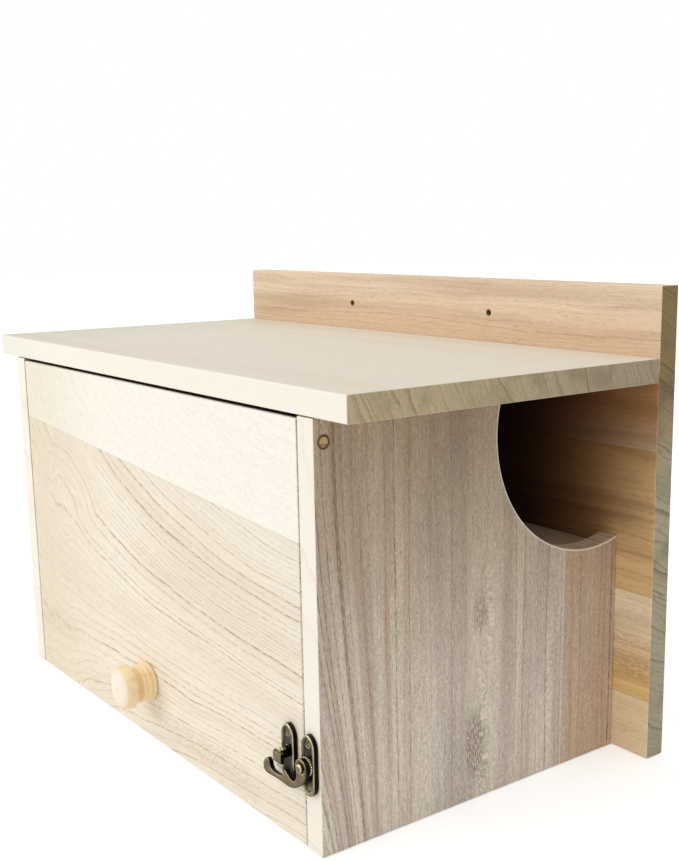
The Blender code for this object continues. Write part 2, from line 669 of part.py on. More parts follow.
def make_frame_plate():
    """Plate on the right side panel with a toothed boss and a bore for the rivet."""
    plate = make_plate("latch_frame_plate", LATCH_X)
    teeth = []
    for i in range(2 * BOSS_TEETH):
        angle = math.pi * i / BOSS_TEETH
        radius = BOSS_RADIUS + (BOSS_TOOTH if i % 2 else 0)
        teeth.append((radius * math.cos(angle), radius * math.sin(angle)))
    bm = bmesh.new()
    inside_plate = PLATE_FRONT_Y + PLATE_THICKNESS / 2
    add_prism(bm, teeth, across_y(LATCH_X, LATCH_HEIGHT, inside_plate, BOSS_FRONT_Y))
    join(plate, bm, "toothed_boss")
    bm = bmesh.new()
    depth = BOSS_HEIGHT + PLATE_THICKNESS + CUT_OVERRUN
    add_bore(bm, (LATCH_X, BOSS_FRONT_Y, LATCH_HEIGHT), AXIS_Y, RIVET_RADIUS + RIVET_CLEARANCE, depth)
    cut(plate, bm, "rivet_bore")
    cut_plate_holes(plate, LATCH_X)


def smooth_curve(points, steps):
    """Smooth curve through a run of points, both ends included."""
    curve = []
    count = len(points)
    for i in range(count - 1):
        before = Vector(points[max(i - 1, 0)])
        first = Vector(points[i])
        second = Vector(points[i + 1])
        after = Vector(points[min(i + 2, count - 1)])
        for step in range(steps):
            t = step / steps
            point = 2 * first + (second - before) * t
            point += (2 * before - 5 * first + 4 * second - after) * t ** 2
            point += (3 * first - before - 3 * second + after) * t ** 3
            curve.append(tuple(point / 2))
    curve.append(tuple(points[-1]))
    return curve


def arm_outline():
    """Latch arm in the front view, round its pivot: the eye, the belly that dips below it,
    the finger curling up at the far end, the notch for the stud and the prong beside it."""
    outer_shares = [
        (0.133, -0.024), (0.128, -0.080), (0.106, -0.140), (0.063, -0.200), (-0.005, -0.262),
        (-0.095, -0.325), (-0.195, -0.374),
        (-0.32, -0.397), (-0.45, -0.395), (-0.58, -0.388), (-0.75, -0.392), (-0.88, -0.398),
        (-0.962, -0.370), (-0.996, -0.305), (-0.976, -0.232), (-0.932, -0.180), (-0.878, -0.162),
        (-0.832, -0.190), (-0.812, -0.245), (-0.780, -0.296), (-0.710, -0.318), (-0.580, -0.316),
        (-0.494, -0.296), (-0.452, -0.245), (-0.427, -0.176),
    ]
    inner_shares = [
        (-0.427, -0.176), (-0.385, -0.196), (-0.325, -0.243), (-0.255, -0.270), (-0.180, -0.263),
        (-0.128, -0.212), (-0.112, -0.150), (-0.124, -0.061),
    ]
    outer = smooth_curve([(ARM_REACH * x, ARM_REACH * z) for x, z in outer_shares], CURVE_STEPS)
    inner = smooth_curve([(ARM_REACH * x, ARM_REACH * z) for x, z in inner_shares], CURVE_STEPS)
    eye_start = math.degrees(math.atan2(inner_shares[-1][1], inner_shares[-1][0])) % 360
    eye_end = math.degrees(math.atan2(outer_shares[0][1], outer_shares[0][0]))
    eye = arc((0, 0), ARM_EYE_RADIUS, eye_start, eye_end, EYE_STEPS)
    return outer[1:] + inner[1:-1] + eye


def make_arm():
    """Swinging latch arm with its eye bored for the rivet. Its origin is on the rivet."""
    bm = bmesh.new()
    add_prism(bm, arm_outline(), across_y(LATCH_X, LATCH_HEIGHT, ARM_BACK_Y, ARM_FRONT_Y))
    arm = object_from(bm, "latch_arm", OLD_BRASS, (LATCH_X, ARM_BACK_Y, LATCH_HEIGHT))
    round_edges(arm, ARM_BEVEL)
    bm = bmesh.new()
    depth = ARM_THICKNESS + CUT_OVERRUN
    add_bore(bm, (LATCH_X, ARM_FRONT_Y, LATCH_HEIGHT), AXIS_Y, RIVET_RADIUS + RIVET_CLEARANCE, depth)
    cut(arm, bm, "latch_arm_bore")


def make_rivet():
    """Rivet that holds the arm to the frame plate, with a domed head."""
    start = ARM_FRONT_Y - SEAT_GAP - RIVET_HEAD_HEIGHT
    head_shares = ((0.10, 0.50), (0.35, 0.82), (0.7, 0.97), (1.0, 1.0))
    profile = [(0, 0)]
    profile += [(RIVET_HEAD_HEIGHT * along_share, RIVET_HEAD_RADIUS * radius_share)
                for along_share, radius_share in head_shares]
    length = PLATE_BACK_Y - start
    profile += [(RIVET_HEAD_HEIGHT, RIVET_RADIUS), (length, RIVET_RADIUS), (length, 0)]
    turned("latch_rivet", profile, (LATCH_X, start, LATCH_HEIGHT), AXIS_Y, OLD_BRASS, ROUND_SIDES)


def make_latch_screws():
    """Two countersunk screws in each latch plate."""
    for plate, x in (("door", STUD_X), ("frame", LATCH_X)):
        for level, z in zip(("lower", "upper"), latch_screw_heights()):
            screw(f"latch_{plate}_screw_{level}", (x, PLATE_FIELD_Y, z), AXIS_Y, LATCH_SCREW_HEAD_RADIUS,
                  LATCH_SCREW_RADIUS, LATCH_SCREW_LENGTH, OLD_BRASS)


def make_back_screws():
    """Screws through the back board, their heads flush with its rear face."""
    for name, x, z, _ in back_screw_places():
        screw(name, (x, BACK_REAR_Y, z), -AXIS_Y, BACK_SCREW_HEAD_RADIUS, BACK_SCREW_RADIUS,
              BACK_SCREW_LENGTH, ZINC)


def make_dowels():
    """Blind dowels between the roof, the sides, the floor and the shelf."""
    ease = DOWEL_RADIUS * DOWEL_EASE_SHARE
    profile = [(0, 0), (0, DOWEL_RADIUS - ease), (ease, DOWEL_RADIUS)]
    profile += [(DOWEL_LENGTH - ease, DOWEL_RADIUS), (DOWEL_LENGTH, DOWEL_RADIUS - ease)]
    profile.append((DOWEL_LENGTH, 0))
    for name, start, direction, _, _ in dowel_places():
        turned(name, profile, start, direction, DOWEL_WOOD, ROUND_SIDES)


def main():
    """Build the whole nest box."""
    clear_scene()
    make_roof()
    make_back()
    make_side("left_side_panel", -1, False, "left")
    make_side("right_side_panel", 1, True, "right")
    make_floor()
    make_shelf()
    make_door()
    make_pivot_pins()
    make_knob()
    make_door_plate()
    make_frame_plate()
    make_arm()
    make_rivet()
    make_latch_screws()
    make_back_screws()
    make_dowels()


main()
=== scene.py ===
import json
import math

import bpy
from bpy.props import FloatProperty, FloatVectorProperty, IntProperty, PointerProperty
from bpy.types import Operator, Panel, PropertyGroup
from mathutils import Matrix, Vector


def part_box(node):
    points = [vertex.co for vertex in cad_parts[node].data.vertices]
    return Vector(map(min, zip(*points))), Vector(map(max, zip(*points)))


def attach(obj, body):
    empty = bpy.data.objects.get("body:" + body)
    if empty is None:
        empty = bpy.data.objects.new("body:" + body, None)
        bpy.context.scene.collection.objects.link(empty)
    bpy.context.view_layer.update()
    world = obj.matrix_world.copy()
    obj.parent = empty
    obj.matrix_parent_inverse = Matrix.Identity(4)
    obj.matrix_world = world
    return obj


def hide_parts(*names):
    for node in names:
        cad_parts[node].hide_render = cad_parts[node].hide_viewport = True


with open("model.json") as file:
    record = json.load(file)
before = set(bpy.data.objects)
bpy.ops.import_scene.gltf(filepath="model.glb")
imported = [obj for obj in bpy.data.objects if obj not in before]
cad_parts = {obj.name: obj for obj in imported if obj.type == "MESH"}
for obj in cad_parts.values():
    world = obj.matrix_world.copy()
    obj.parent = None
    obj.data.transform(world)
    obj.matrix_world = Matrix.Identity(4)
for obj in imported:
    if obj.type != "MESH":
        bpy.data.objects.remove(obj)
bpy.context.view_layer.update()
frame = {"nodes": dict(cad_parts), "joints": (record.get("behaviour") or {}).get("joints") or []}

bl_info = {
    "name": "Nest Box",
    "version": (1, 0, 0),
    "blender": (4, 5, 0),
    "location": "View3D > Sidebar > Nest Box",
    "description": "Finishes a wooden nest box in planed wood, antique brass and zinc",
    "category": "Object",
}

PIVOTS = {joint["name"]: Vector(joint["pos_m"]) for joint in frame["joints"]}
MM = 0.001
X, Y, Z = range(3)

# Places in millimetres: the room inside the box, the door's pins and the middle of the entrance
INSIDE_LOW = Vector((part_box("left_side_panel")[1].x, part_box("door_panel")[1].y,
                     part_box("floor_panel")[1].z)) / MM
INSIDE_HIGH = Vector((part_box("right_side_panel")[0].x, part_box("back_panel")[0].y,
                      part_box("roof_panel")[0].z)) / MM
HINGE = PIVOTS["door_swing"] / MM
ENTRANCE = Vector((INSIDE_HIGH.x, 73.45, 175.6))
ENTRANCE_RADIUS = 64.0


def linear(red, green, blue):
    """Linear colour from the usual 0 to 255 values."""
    def one(value):
        share = value / 255
        return share / 12.92 if share <= 0.04045 else ((share + 0.055) / 1.055) ** 2.4
    return (one(red), one(green), one(blue))


def colour(name, description, *value):
    """Colour property with its default given in 0 to 255 values."""
    return FloatVectorProperty(name=name, description=description, subtype="COLOR", size=3,
                               min=0, max=1, default=linear(*value))


def length(name, description, default):
    """Length property in metres."""
    return FloatProperty(name=name, description=description, default=default, min=0,
                         unit="LENGTH", precision=5)


def share(name, description, default):
    """Plain number property."""
    return FloatProperty(name=name, description=description, default=default)


class WoodColours(PropertyGroup):
    """Colours of the bare wood."""
    door_top: colour("Door top strip", "Cream strip above the door's glue line", 252, 247, 234)
    door_low: colour("Door lower strip", "Warmer strip below the glue line", 246, 235, 216)
    door_line: colour("Door lines", "Late wood lines of the door", 168, 134, 88)
    # Painted shade: darkens the door towards its left
    door_left_shade: colour("Door left", "Stain that deepens towards the left of the door", 244, 240, 232)
    # Also laid along the entrance's outer edge as a painted highlight
    front_edge_and_rim_highlight: colour("Front edges", "Front edges of the roof and the sides", 250, 243, 228)
    roof: colour("Roof", "Top of the roof", 234, 224, 206)
    # Painted shade: darkens the roof towards its left
    roof_left_shade: colour("Roof left", "Stain that deepens towards the left of the roof", 246, 251, 248)
    roof_line: colour("Roof lines", "Late wood lines of the roof", 200, 184, 154)
    roof_end: colour("Roof end", "End grain of the roof", 192, 175, 137)
    roof_end_line: colour("Roof end lines", "Growth rings in the roof's end grain", 130, 108, 74)
    # Painted shade: darkens the roof's end towards the rear
    roof_end_rear_shade: colour("Roof end rear", "Stain towards the back of the roof's end", 222, 223, 230)
    # Painted shadow: the door's top edge, painted dark where it lies in the gap under the roof
    door_gap_shadow: colour("Sawn edge", "Top edge of the door, dark in its gap", 40, 30, 20)
    side: colour("Side", "Main strip of the side panels", 236, 223, 205)
    # Painted shade: darkens the side panels towards the top, under the roof
    side_top_shade: colour("Side top", "Stain that deepens towards the top of the side panels", 205, 192, 172)
    # Painted shade: darkens the middle of the side panels under the roof
    side_middle_shade: colour("Side middle", "Stain in the middle of the side panels", 226, 226, 224)
    side_warm: colour("Side streaks", "Warm streaks of the side panels", 190, 160, 130)
    side_cool: colour("Side cool streaks", "Greyish streaks of the side panels", 208, 194, 184)
    side_line: colour("Side lines", "Dark late wood lines of the side panels", 102, 76, 56)
    side_rear: colour("Side rear strip", "Warmer strip behind the glue line", 214, 186, 158)
    back: colour("Back", "Upper strip of the back board", 238, 214, 185)
    # Painted shade: darkens the back board just above the roof
    back_shade: colour("Back shade", "Stain on the back board just above the roof", 241, 232, 222)
    back_gold: colour("Back middle strip", "Golden strip of the back board", 238, 199, 141)
    back_pale: colour("Back pale strip", "Pale strips low on the back board", 255, 234, 198)
    back_line: colour("Back lines", "Late wood lines of the back board", 158, 112, 70)
    # Painted shade, warm: darkens the back board under the roof inside the box
    back_warm_shade: colour("Back glow", "Warm stain towards the inside of the back board", 255, 225, 199)
    # Painted shade: darkens the back board deep inside the box
    back_deep_shade: colour("Back depth", "Dark stain deep inside on the back board", 74, 60, 52)
    # Painted shade: darkens the back board under the eaves of the roof
    back_eaves_shade: colour("Back eaves", "Stain on the back board under the roof", 203, 171, 128)
    back_foot: colour("Back foot", "Golden stain low on the back board", 251, 232, 188)
    back_end: colour("Back end", "End grain of the back board", 176, 163, 134)
    # Makes the back's end darker and more golden towards its top
    back_end_top: colour("Back end top", "Golden stain towards the top of the back's end", 200, 179, 130)
    back_end_line: colour("Back end lines", "Growth rings in the back's end grain", 98, 88, 62)
    # Painted shade on the faces inside the box
    indoor_shade: colour("Indoors", "Stain on the faces inside the box", 196, 184, 170)
    knob: colour("Knob", "Side of the turned knob", 250, 226, 182)
    knob_line: colour("Knob lines", "Darker lines of the knob", 226, 180, 118)
    knob_face: colour("Knob face", "Pinkish end grain on the knob's face", 250, 237, 220)
    plug: colour("Plug", "End grain of the pins", 204, 168, 118)
    # Also painted as a shadow ring round the pin holes in the side panels
    plug_line_and_shadow: colour("Plug rim", "Dark rim and rings of the pins", 92, 62, 34)


class MetalColours(PropertyGroup):
    """Colours of the latch and the screws."""
    patina: colour("Patina", "Dark skin in the hollows and on the sides of the latch", 36, 27, 25)
    bronze: colour("Bronze", "Broad faces of the latch, where the skin is thin", 128, 112, 74)
    # Also laid on as painted highlights: on edges that look up and to the left, on rounded crowns, on the
    # neck's ball and on the beads
    wear_and_highlight: colour("Worn brass", "Rubbed rims and high spots of the latch", 252, 242, 196)
    zinc: colour("Zinc", "Plating of the steel screws", 206, 206, 202)


class LatchSizes(PropertyGroup):
    """Sizes of the latch's finer forms."""
    crown: length("Crown", "Rounding of a plate's edge", 0.9 * MM)
    rim: length("Rim", "Width of the raised rim round a plate", 1.4 * MM)
    recess: length("Recess", "Depth of the field inside the rim", 0.4 * MM)
    bead: length("Bead", "Radius of a bead round the boss", 0.42 * MM)
    beads: IntProperty(name="Beads", description="Number of beads round the boss", default=22, min=6)
    arch: share("Arch", "Radius of a plate's arches as a share of its width", 0.62)


class StudioSettings(PropertyGroup):
    """Light, floor and camera."""
    sky: share("Sky", "Strength of the even light all round", 0.3)
    sky_top: share("Top sky", "Light that the sky overhead adds", 0.6)
    sky_front: share("Front sky", "Light that the side in front of the box adds", 0.3)
    key: FloatProperty(name="Key", description="Power of the front window in watts", default=11.0,
                       min=0)
    floor_lift: share("Floor lift", "Light that the floor adds for the camera alone, to reach white",
                      0.4)
    camera: FloatVectorProperty(name="Camera", description="Camera position", subtype="XYZ",
                                unit="LENGTH", size=3, default=(0.55705, -0.35978, 0.27079))
    yaw: FloatProperty(name="Yaw", description="Heading, positive towards +X", unit="ROTATION",
                       default=math.radians(-52.5165))
    pitch: FloatProperty(name="Pitch", description="Tilt above the horizon", unit="ROTATION",
                         default=math.radians(-11.2305))
    roll: FloatProperty(name="Roll", description="Turn round the line of sight", unit="ROTATION",
                        default=math.radians(-0.6961))
    lens: FloatProperty(name="Lens", description="Focal length for a 36 mm high frame",
                        default=49.551, min=1, unit="CAMERA")
    shift_x: share("Shift X", "Sideways shift of the lens", -0.051076)
    shift_y: share("Shift Y", "Upward shift of the lens", 0.037538)


class NestBox(PropertyGroup):
    """All settings of the nest box."""
    wood: PointerProperty(type=WoodColours)
    metal: PointerProperty(type=MetalColours)
    latch: PointerProperty(type=LatchSizes)
    studio: PointerProperty(type=StudioSettings)


def settings():
    """This scene's settings."""
    return bpy.context.scene.nest_box


class Nodes:
    """Shader nodes of a material or of the sky, added and wired in short steps."""

    def __init__(self, tree):
        self.tree = tree
        self.place = self.node("TexCoord").outputs

    def wire(self, value, socket):
        """Put a number, a colour or another node's output into a socket."""
        if isinstance(value, bpy.types.NodeSocket):
            self.tree.links.new(value, socket)
        else:
            socket.default_value = value

    def node(self, kind, *given, **values):
        """Add a node, set its named values, and fill its first sockets with what is given."""
        made = self.tree.nodes.new("ShaderNode" + kind)
        for name, value in values.items():
            setattr(made, name, value)
        for value, socket in zip(given, made.inputs):
            self.wire(value, socket)
        return made

    def math(self, operation, *given):
        """One step of arithmetic."""
        return self.node("Math", *given, operation=operation).outputs[0]

    def add(self, first, second):
        return self.math("ADD", first, second)

    def less(self, first, second):
        return self.math("SUBTRACT", first, second)

    def times(self, first, second):
        return self.math("MULTIPLY", first, second)

    def most(self, first, second):
        return self.math("MAXIMUM", first, second)

    def power(self, value, exponent):
        return self.math("POWER", value, exponent)

    def line(self, value, slope, start):
        """A value times a slope, plus a start."""
        return self.math("MULTIPLY_ADD", value, slope, start)

    def fade(self, value, low, high, to_low=0.0, to_high=1.0):
        """Smooth step from one value to another between two limits."""
        return self.node("MapRange", value, low, high, to_low, to_high,
                         interpolation_type="SMOOTHSTEP").outputs[0]

    def between(self, value, low, full, still, high):
        """1 in the middle of a range, fading out towards both of its ends."""
        return self.times(self.fade(value, low, full), self.fade(value, still, high, 1.0, 0.0))

    def millimetres(self):
        """The surface's own place in millimetres, as three numbers."""
        mapping = self.node("Mapping", self.place["Object"])
        mapping.inputs["Scale"].default_value = (1000, 1000, 1000)
        return self.node("SeparateXYZ", mapping.outputs[0]).outputs

    def facing(self, axis, low=0.6, high=0.9):
        """1 where a face looks along an axis, either way, and 0 where it looks aside."""
        looks = self.node("SeparateXYZ", self.place["Normal"]).outputs[axis]
        return self.fade(self.math("ABSOLUTE", looks), low, high)

    def point(self, x, y, z):
        """Three numbers as one place."""
        return self.node("CombineXYZ", x, y, z).outputs[0]

    def noise(self, place, scale, detail, roughness=0.5):
        """Soft noise from 0 to 1."""
        node = self.node("TexNoise", place)
        for name, value in (("Scale", scale), ("Detail", detail), ("Roughness", roughness)):
            node.inputs[name].default_value = value
        return node.outputs["Fac"]

    def chance(self, number):
        """A fixed random value for each whole number."""
        node = self.node("TexWhiteNoise", noise_dimensions="1D")
        self.wire(number, node.inputs["W"])
        return node.outputs["Value"]

    def mix(self, share, first, second, kind="RGBA", suffix="Color"):
        """Mix two colours, or with the other kind and suffix two numbers."""
        node = self.node("Mix", data_type=kind)
        sockets = {socket.identifier: socket for socket in (*node.inputs, *node.outputs)}
        self.wire(share, sockets["Factor_Float"])
        for value, letter in ((first, "A"), (second, "B")):
            if kind == "RGBA" and not isinstance(value, bpy.types.NodeSocket):
                value = (*value, 1)
            self.wire(value, sockets[f"{letter}_{suffix}"])
        return sockets["Result_" + suffix]

    def blend(self, share, first, second):
        """A number between two others."""
        return self.mix(share, first, second, "FLOAT", "Float")

    def shade(self, tone, share):
        """Make a colour lighter or darker by a share."""
        node = self.node("VectorMath", tone, operation="SCALE")
        self.wire(share, node.inputs["Scale"])
        return node.outputs[0]

    def rounded(self, radius):
        """Direction of the surface as if its edges were rounded."""
        return self.node("Bevel", radius, samples=6).outputs[0]

    def towards(self, first, second):
        """How far two directions agree, from -1 to 1."""
        return self.node("VectorMath", first, second, operation="DOT_PRODUCT").outputs["Value"]

    def edge(self, radius):
        """How much the surface turns within a radius, from 0 on a flat to 1 on an edge."""
        flat = self.node("NewGeometry").outputs["Normal"]
        return self.less(1.0, self.towards(self.rounded(radius), flat))

    def open(self, distance):
        """How open the surface lies, from 0 in a hollow to 1 in the open."""
        node = self.node("AmbientOcclusion", samples=6)
        node.inputs["Distance"].default_value = distance
        return node.outputs["AO"]


class Finish(Nodes):
    """One material, worked out from the surface's own place."""

    def __init__(self, name, metallic=0.0):
        self.material = bpy.data.materials.new(name)
        self.material.use_nodes = True
        super().__init__(self.material.node_tree)
        self.place_mm = self.millimetres()
        self.shader = self.tree.nodes["Principled BSDF"]
        self.shader.inputs["Metallic"].default_value = metallic

    def clouds(self, scale, detail, roughness=0.5):
        """Soft noise that lies still on the piece."""
        return self.noise(self.place["Object"], scale, detail, roughness)

    def ring_at(self, first, second, centre, radius, soft):
        """1 on a ring drawn round a centre in the plane of two axes, fading out on both sides."""
        squares = [self.power(self.less(self.place_mm[axis], centre[axis]), 2.0)
                   for axis in (first, second)]
        off = self.math("ABSOLUTE", self.less(self.math("SQRT", self.add(*squares)), radius))
        return self.fade(off, soft * 0.3, soft, 1.0, 0.0)

    def done(self, tone, roughness, height, depth, strength=0.5):
        """Wire the colour, roughness and relief to the shader."""
        self.wire(tone, self.shader.inputs["Base Color"])
        self.wire(roughness, self.shader.inputs["Roughness"])
        bump = self.node("Bump")
        bump.inputs["Strength"].default_value = strength
        bump.inputs["Distance"].default_value = depth
        self.wire(height, bump.inputs["Height"])
        self.wire(bump.outputs[0], self.shader.inputs["Normal"])
        return self.material


class Wood(Finish):
    """Planed wood. The grain runs along one axis of the piece, and the growth rings follow each
    other across it. Lengths in its methods are in millimetres."""

    def __init__(self, name, along, across, tone, seed):
        super().__init__(name)
        self.along = along
        self.run = self.place_mm[along]
        self.rise = self.place_mm[across]
        self.through = self.place_mm[3 - along - across]
        self.seed = seed
        self.tone = tone
        self.field = self.add(self.rise, seed)
        self.force = 1.0
        self.seam = 0.0
        self.height = 0.0

    def bend(self, field):
        """Let the rings follow a bent field instead of straight lines."""
        self.field = self.add(field, self.seed)

    def paint(self, share, tone):
        """Lay another colour over the wood by a share."""
        self.tone = self.mix(share, self.tone, tone)

    def strips(self, joints):
        """Glue up the board from strips. A joint is the line between two strips, its slope along
        the board, and the colour and strength of lines of the strip past it."""
        number = 0.0
        for line, slope, tone, force in joints:
            past = self.less(self.rise, self.line(self.run, slope, line))
            here = self.math("GREATER_THAN", past, 0.0)
            number = self.add(number, here)
            self.paint(here, tone)
            self.force = self.blend(here, self.force, force)
            near = self.fade(self.math("ABSOLUTE", past), 0.05, 0.35, 1.0, 0.0)
            self.seam = self.most(self.seam, near)
        self.field = self.line(number, 61.7, self.field)

    def stretched(self, slow, quick, detail=2.0):
        """Noise drawn out along the grain."""
        return self.noise(self.point(self.times(self.run, slow), self.times(self.field, quick),
                                     self.times(self.through, quick)), 1.0, detail)

    def sway(self, amount, slow=0.008, quick=0.03):
        """Let the rings wander."""
        wave = self.less(self.stretched(slow, quick, 3.0), 0.5)
        self.field = self.line(wave, amount, self.field)

    def lean(self, slope):
        """Let the rings cross the thickness at a slant."""
        self.field = self.line(self.through, slope, self.field)

    def warm(self, tone, amount, slow=0.004, quick=0.11, low=0.42, high=0.68):
        """Stain the wood in long soft streaks."""
        streak = self.fade(self.stretched(slow, quick, 3.0), low, high)
        self.paint(self.times(self.times(streak, amount), self.force), tone)

    def late_wood(self, spacing, width, uneven):
        """Late wood lines, each of its own strength, which start soft and end sharp."""
        drift = self.noise(self.point(self.times(self.field, 0.05), self.seed, 0.0), 1.0, 2.0)
        count = self.math("DIVIDE", self.line(drift, uneven, self.field), spacing)
        phase = self.math("FRACT", count)
        soft = self.power(self.fade(phase, 0.9 - width, 0.93), 1.6)
        thin = self.fade(phase, 0.93 - 0.4 * width, 0.93)
        late = self.line(thin, 0.6, self.times(soft, 0.4))
        late = self.times(late, self.fade(phase, 0.94, 1.0, 1.0, 0.0))
        weight = self.chance(self.math("FLOOR", count))
        return self.times(late, self.line(self.times(weight, weight), 0.8, 0.2))

    def rings(self, tone, spacing, width, share, uneven=30.0):
        """Draw the late wood lines along the grain, broken up by pores."""
        broken = self.fade(self.stretched(0.24, 1.6), 0.38, 0.6, 0.25, 1.0)
        self.late = self.times(self.late_wood(spacing, width, uneven), self.times(broken, self.force))
        self.paint(self.times(self.late, share), tone)
        self.height = self.line(self.late, 0.5, self.height)

    def fibre(self, amount, pores, grit=0.1):
        """Fine fibres, short open pores and the grit of a planed face, all along the grain."""
        fine = self.stretched(0.12, 2.2, 3.0)
        coarse = self.stretched(0.05, 0.7)
        both = self.less(self.add(self.times(fine, 1.3), self.times(coarse, 0.7)), 1.0)
        pore = self.fade(self.stretched(0.28, 2.9, 1.0), 0.58, 0.7)
        speck = self.less(self.stretched(0.8, 2.6, 1.0), 0.5)
        self.tone = self.shade(self.tone, self.line(both, amount, 1.0))
        self.tone = self.shade(self.tone, self.line(pore, -pores, 1.0))
        self.tone = self.shade(self.tone, self.line(speck, grit, 1.0))
        self.height = self.add(self.height, self.line(pore, -0.7, fine))
        self.grain = fine

    def near(self, run, rise, long, wide, amount):
        """An amount at a spot of a length and a width, fading out to nothing round it."""
        far = self.power(self.math("DIVIDE", self.less(self.run, run), long), 2.0)
        off = self.power(self.math("DIVIDE", self.less(self.rise, rise), wide), 2.0)
        return self.fade(self.add(far, off), 0.0, 1.0, amount, 0.0)

    def swirl(self, spots):
        """Push the rings aside: (along, across, length, width, shift) each."""
        for spot in spots:
            self.field = self.add(self.field, self.near(*spot))

    def marks(self, tone, spots):
        """Knots and dark patches: (along, across, length, width, share) each, speckled."""
        speckle = self.fade(self.stretched(0.36, 2.0, 4.0), 0.38, 0.6)
        for spot in spots:
            self.paint(self.times(self.near(*spot), speckle), tone)

    def stain(self, tone, share):
        """Multiply the wood's colour by another one, by a share of it."""
        tint = self.mix(share, (1, 1, 1), tone)
        self.tone = self.node("VectorMath", self.tone, tint, operation="MULTIPLY").outputs[0]

    def indoor_shade(self, tone):
        """Painted shade on the faces that close the box in, where little light comes."""
        inside = 1.0
        for place, low, high in zip(self.place_mm, INSIDE_LOW, INSIDE_HIGH):
            room = self.between(place, low - 0.4, low - 0.1, high + 0.1, high + 0.4)
            inside = self.times(room, inside)
        self.stain(tone, inside)

    def ends(self, tone, line_tone, spacing=4.5):
        """End grain, with growth rings, on the faces that the fibres run into."""
        dots = self.clouds(1300.0, 3.0)
        patch = self.fade(self.clouds(60.0, 3.0), 0.45, 0.75, 0.0, 0.5)
        late = self.times(self.late_wood(spacing, 0.8, 30.0), 0.9)
        end = self.mix(self.most(late, patch), tone, line_tone)
        self.paint(self.facing(self.along), self.shade(end, self.line(dots, 0.7, 0.65)))

    def front(self, tone, line_tone, lines=0.25):
        """Another colour on the faces that look to the front or the back."""
        plain = self.mix(self.times(self.late, lines), tone, line_tone)
        self.paint(self.facing(Y), self.shade(plain, self.line(self.grain, 0.07, 0.965)))

    def planed(self, roughness=0.6):
        """Finish the wood, with its glue lines."""
        self.tone = self.shade(self.tone, self.line(self.seam, -0.16, 1.0))
        self.height = self.line(self.seam, -0.8, self.height)
        polish = self.line(self.grain, 0.14, roughness - 0.07)
        return self.done(self.tone, polish, self.height, 0.06 * MM)


def door_wood(colours):
    """Two strips: a pale one over an oblique glue line, and one whose lines fan out to the left, with
    painted shade towards the left and a painted shadow on the top edge in its gap.
    """
    wood = Wood("door_wood", X, Z, colours.door_low, 3.0)
    width = 300.0
    level = 42.0
    reach = wood.power(wood.most(wood.line(wood.run, -1 / width, 0.5), 0.0), 1.35)
    squeeze = wood.line(reach, -0.77, 1.0)
    wood.bend(wood.times(wood.less(wood.rise, level), squeeze))
    wood.force = wood.fade(wood.run, -150.0, 20.0, 0.3, 1.15)
    wood.strips([(149.8, -0.0668, colours.door_top, 0.12)])
    wood.swirl([(-86.0, 132.0, 40.0, 26.0, -4.5)])
    wood.sway(wood.fade(wood.run, -150.0, -40.0, 15.0, 6.0), 0.014, 0.05)
    wood.lean(0.3)
    wood.warm(colours.door_line, 0.12, 0.006, 0.07)
    wood.rings(colours.door_line, 2.8, 0.5, 1.0, 14.0)
    wood.fibre(0.12, 0.1, 0.22)
    wood.marks(colours.door_line, [(60.0, 14.0, 80.0, 9.0, 0.3), (-120.0, 34.0, 40.0, 12.0, 0.16)])
    # Painted shade towards the left of the door
    wood.stain(colours.door_left_shade, wood.fade(wood.run, -150.0, -20.0, 1.0, 0.0))
    wood.ends(colours.front_edge_and_rim_highlight, colours.door_line)
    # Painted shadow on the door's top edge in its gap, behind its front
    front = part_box("door_panel")[0].y / MM
    gap = wood.times(wood.facing(Z, 0.93, 0.99), wood.fade(wood.through, front + 1.2, front + 2.8))
    wood.paint(wood.times(gap, wood.fade(wood.rise, 100.0, 110.0)), colours.door_gap_shadow)
    # Painted shade inside the box
    wood.indoor_shade(colours.indoor_shade)
    return wood.planed()


def roof_wood(colours):
    """Three pale strips, cream on the front edge, with dark rings in the ends, and painted shade towards
    the left of the roof and towards the rear of its ends.
    """
    wood = Wood("roof_wood", X, Y, colours.roof, 11.0)
    wood.force = 0.4
    wood.strips([(-67.0, 0.0, colours.roof, 0.3), (40.5, 0.0, colours.roof, 0.45)])
    wood.sway(16.0)
    wood.lean(0.45)
    wood.warm(colours.roof_line, 0.35)
    wood.rings(colours.roof_line, 4.6, 0.5, 0.7)
    wood.fibre(0.09, 0.1)
    wood.front(colours.front_edge_and_rim_highlight, colours.roof_line, 0.5)
    # Painted shade towards the left of the roof
    wood.stain(colours.roof_left_shade, wood.fade(wood.run, -186.0, -90.0, 1.0, 0.0))
    wood.ends(colours.roof_end, colours.roof_end_line)
    # Painted shade towards the rear of the roof's end
    wood.stain(colours.roof_end_rear_shade, wood.times(wood.facing(X), wood.fade(wood.rise, -60.0, 80.0)))
    # Painted shade inside the box
    wood.indoor_shade(colours.indoor_shade)
    return wood.planed()


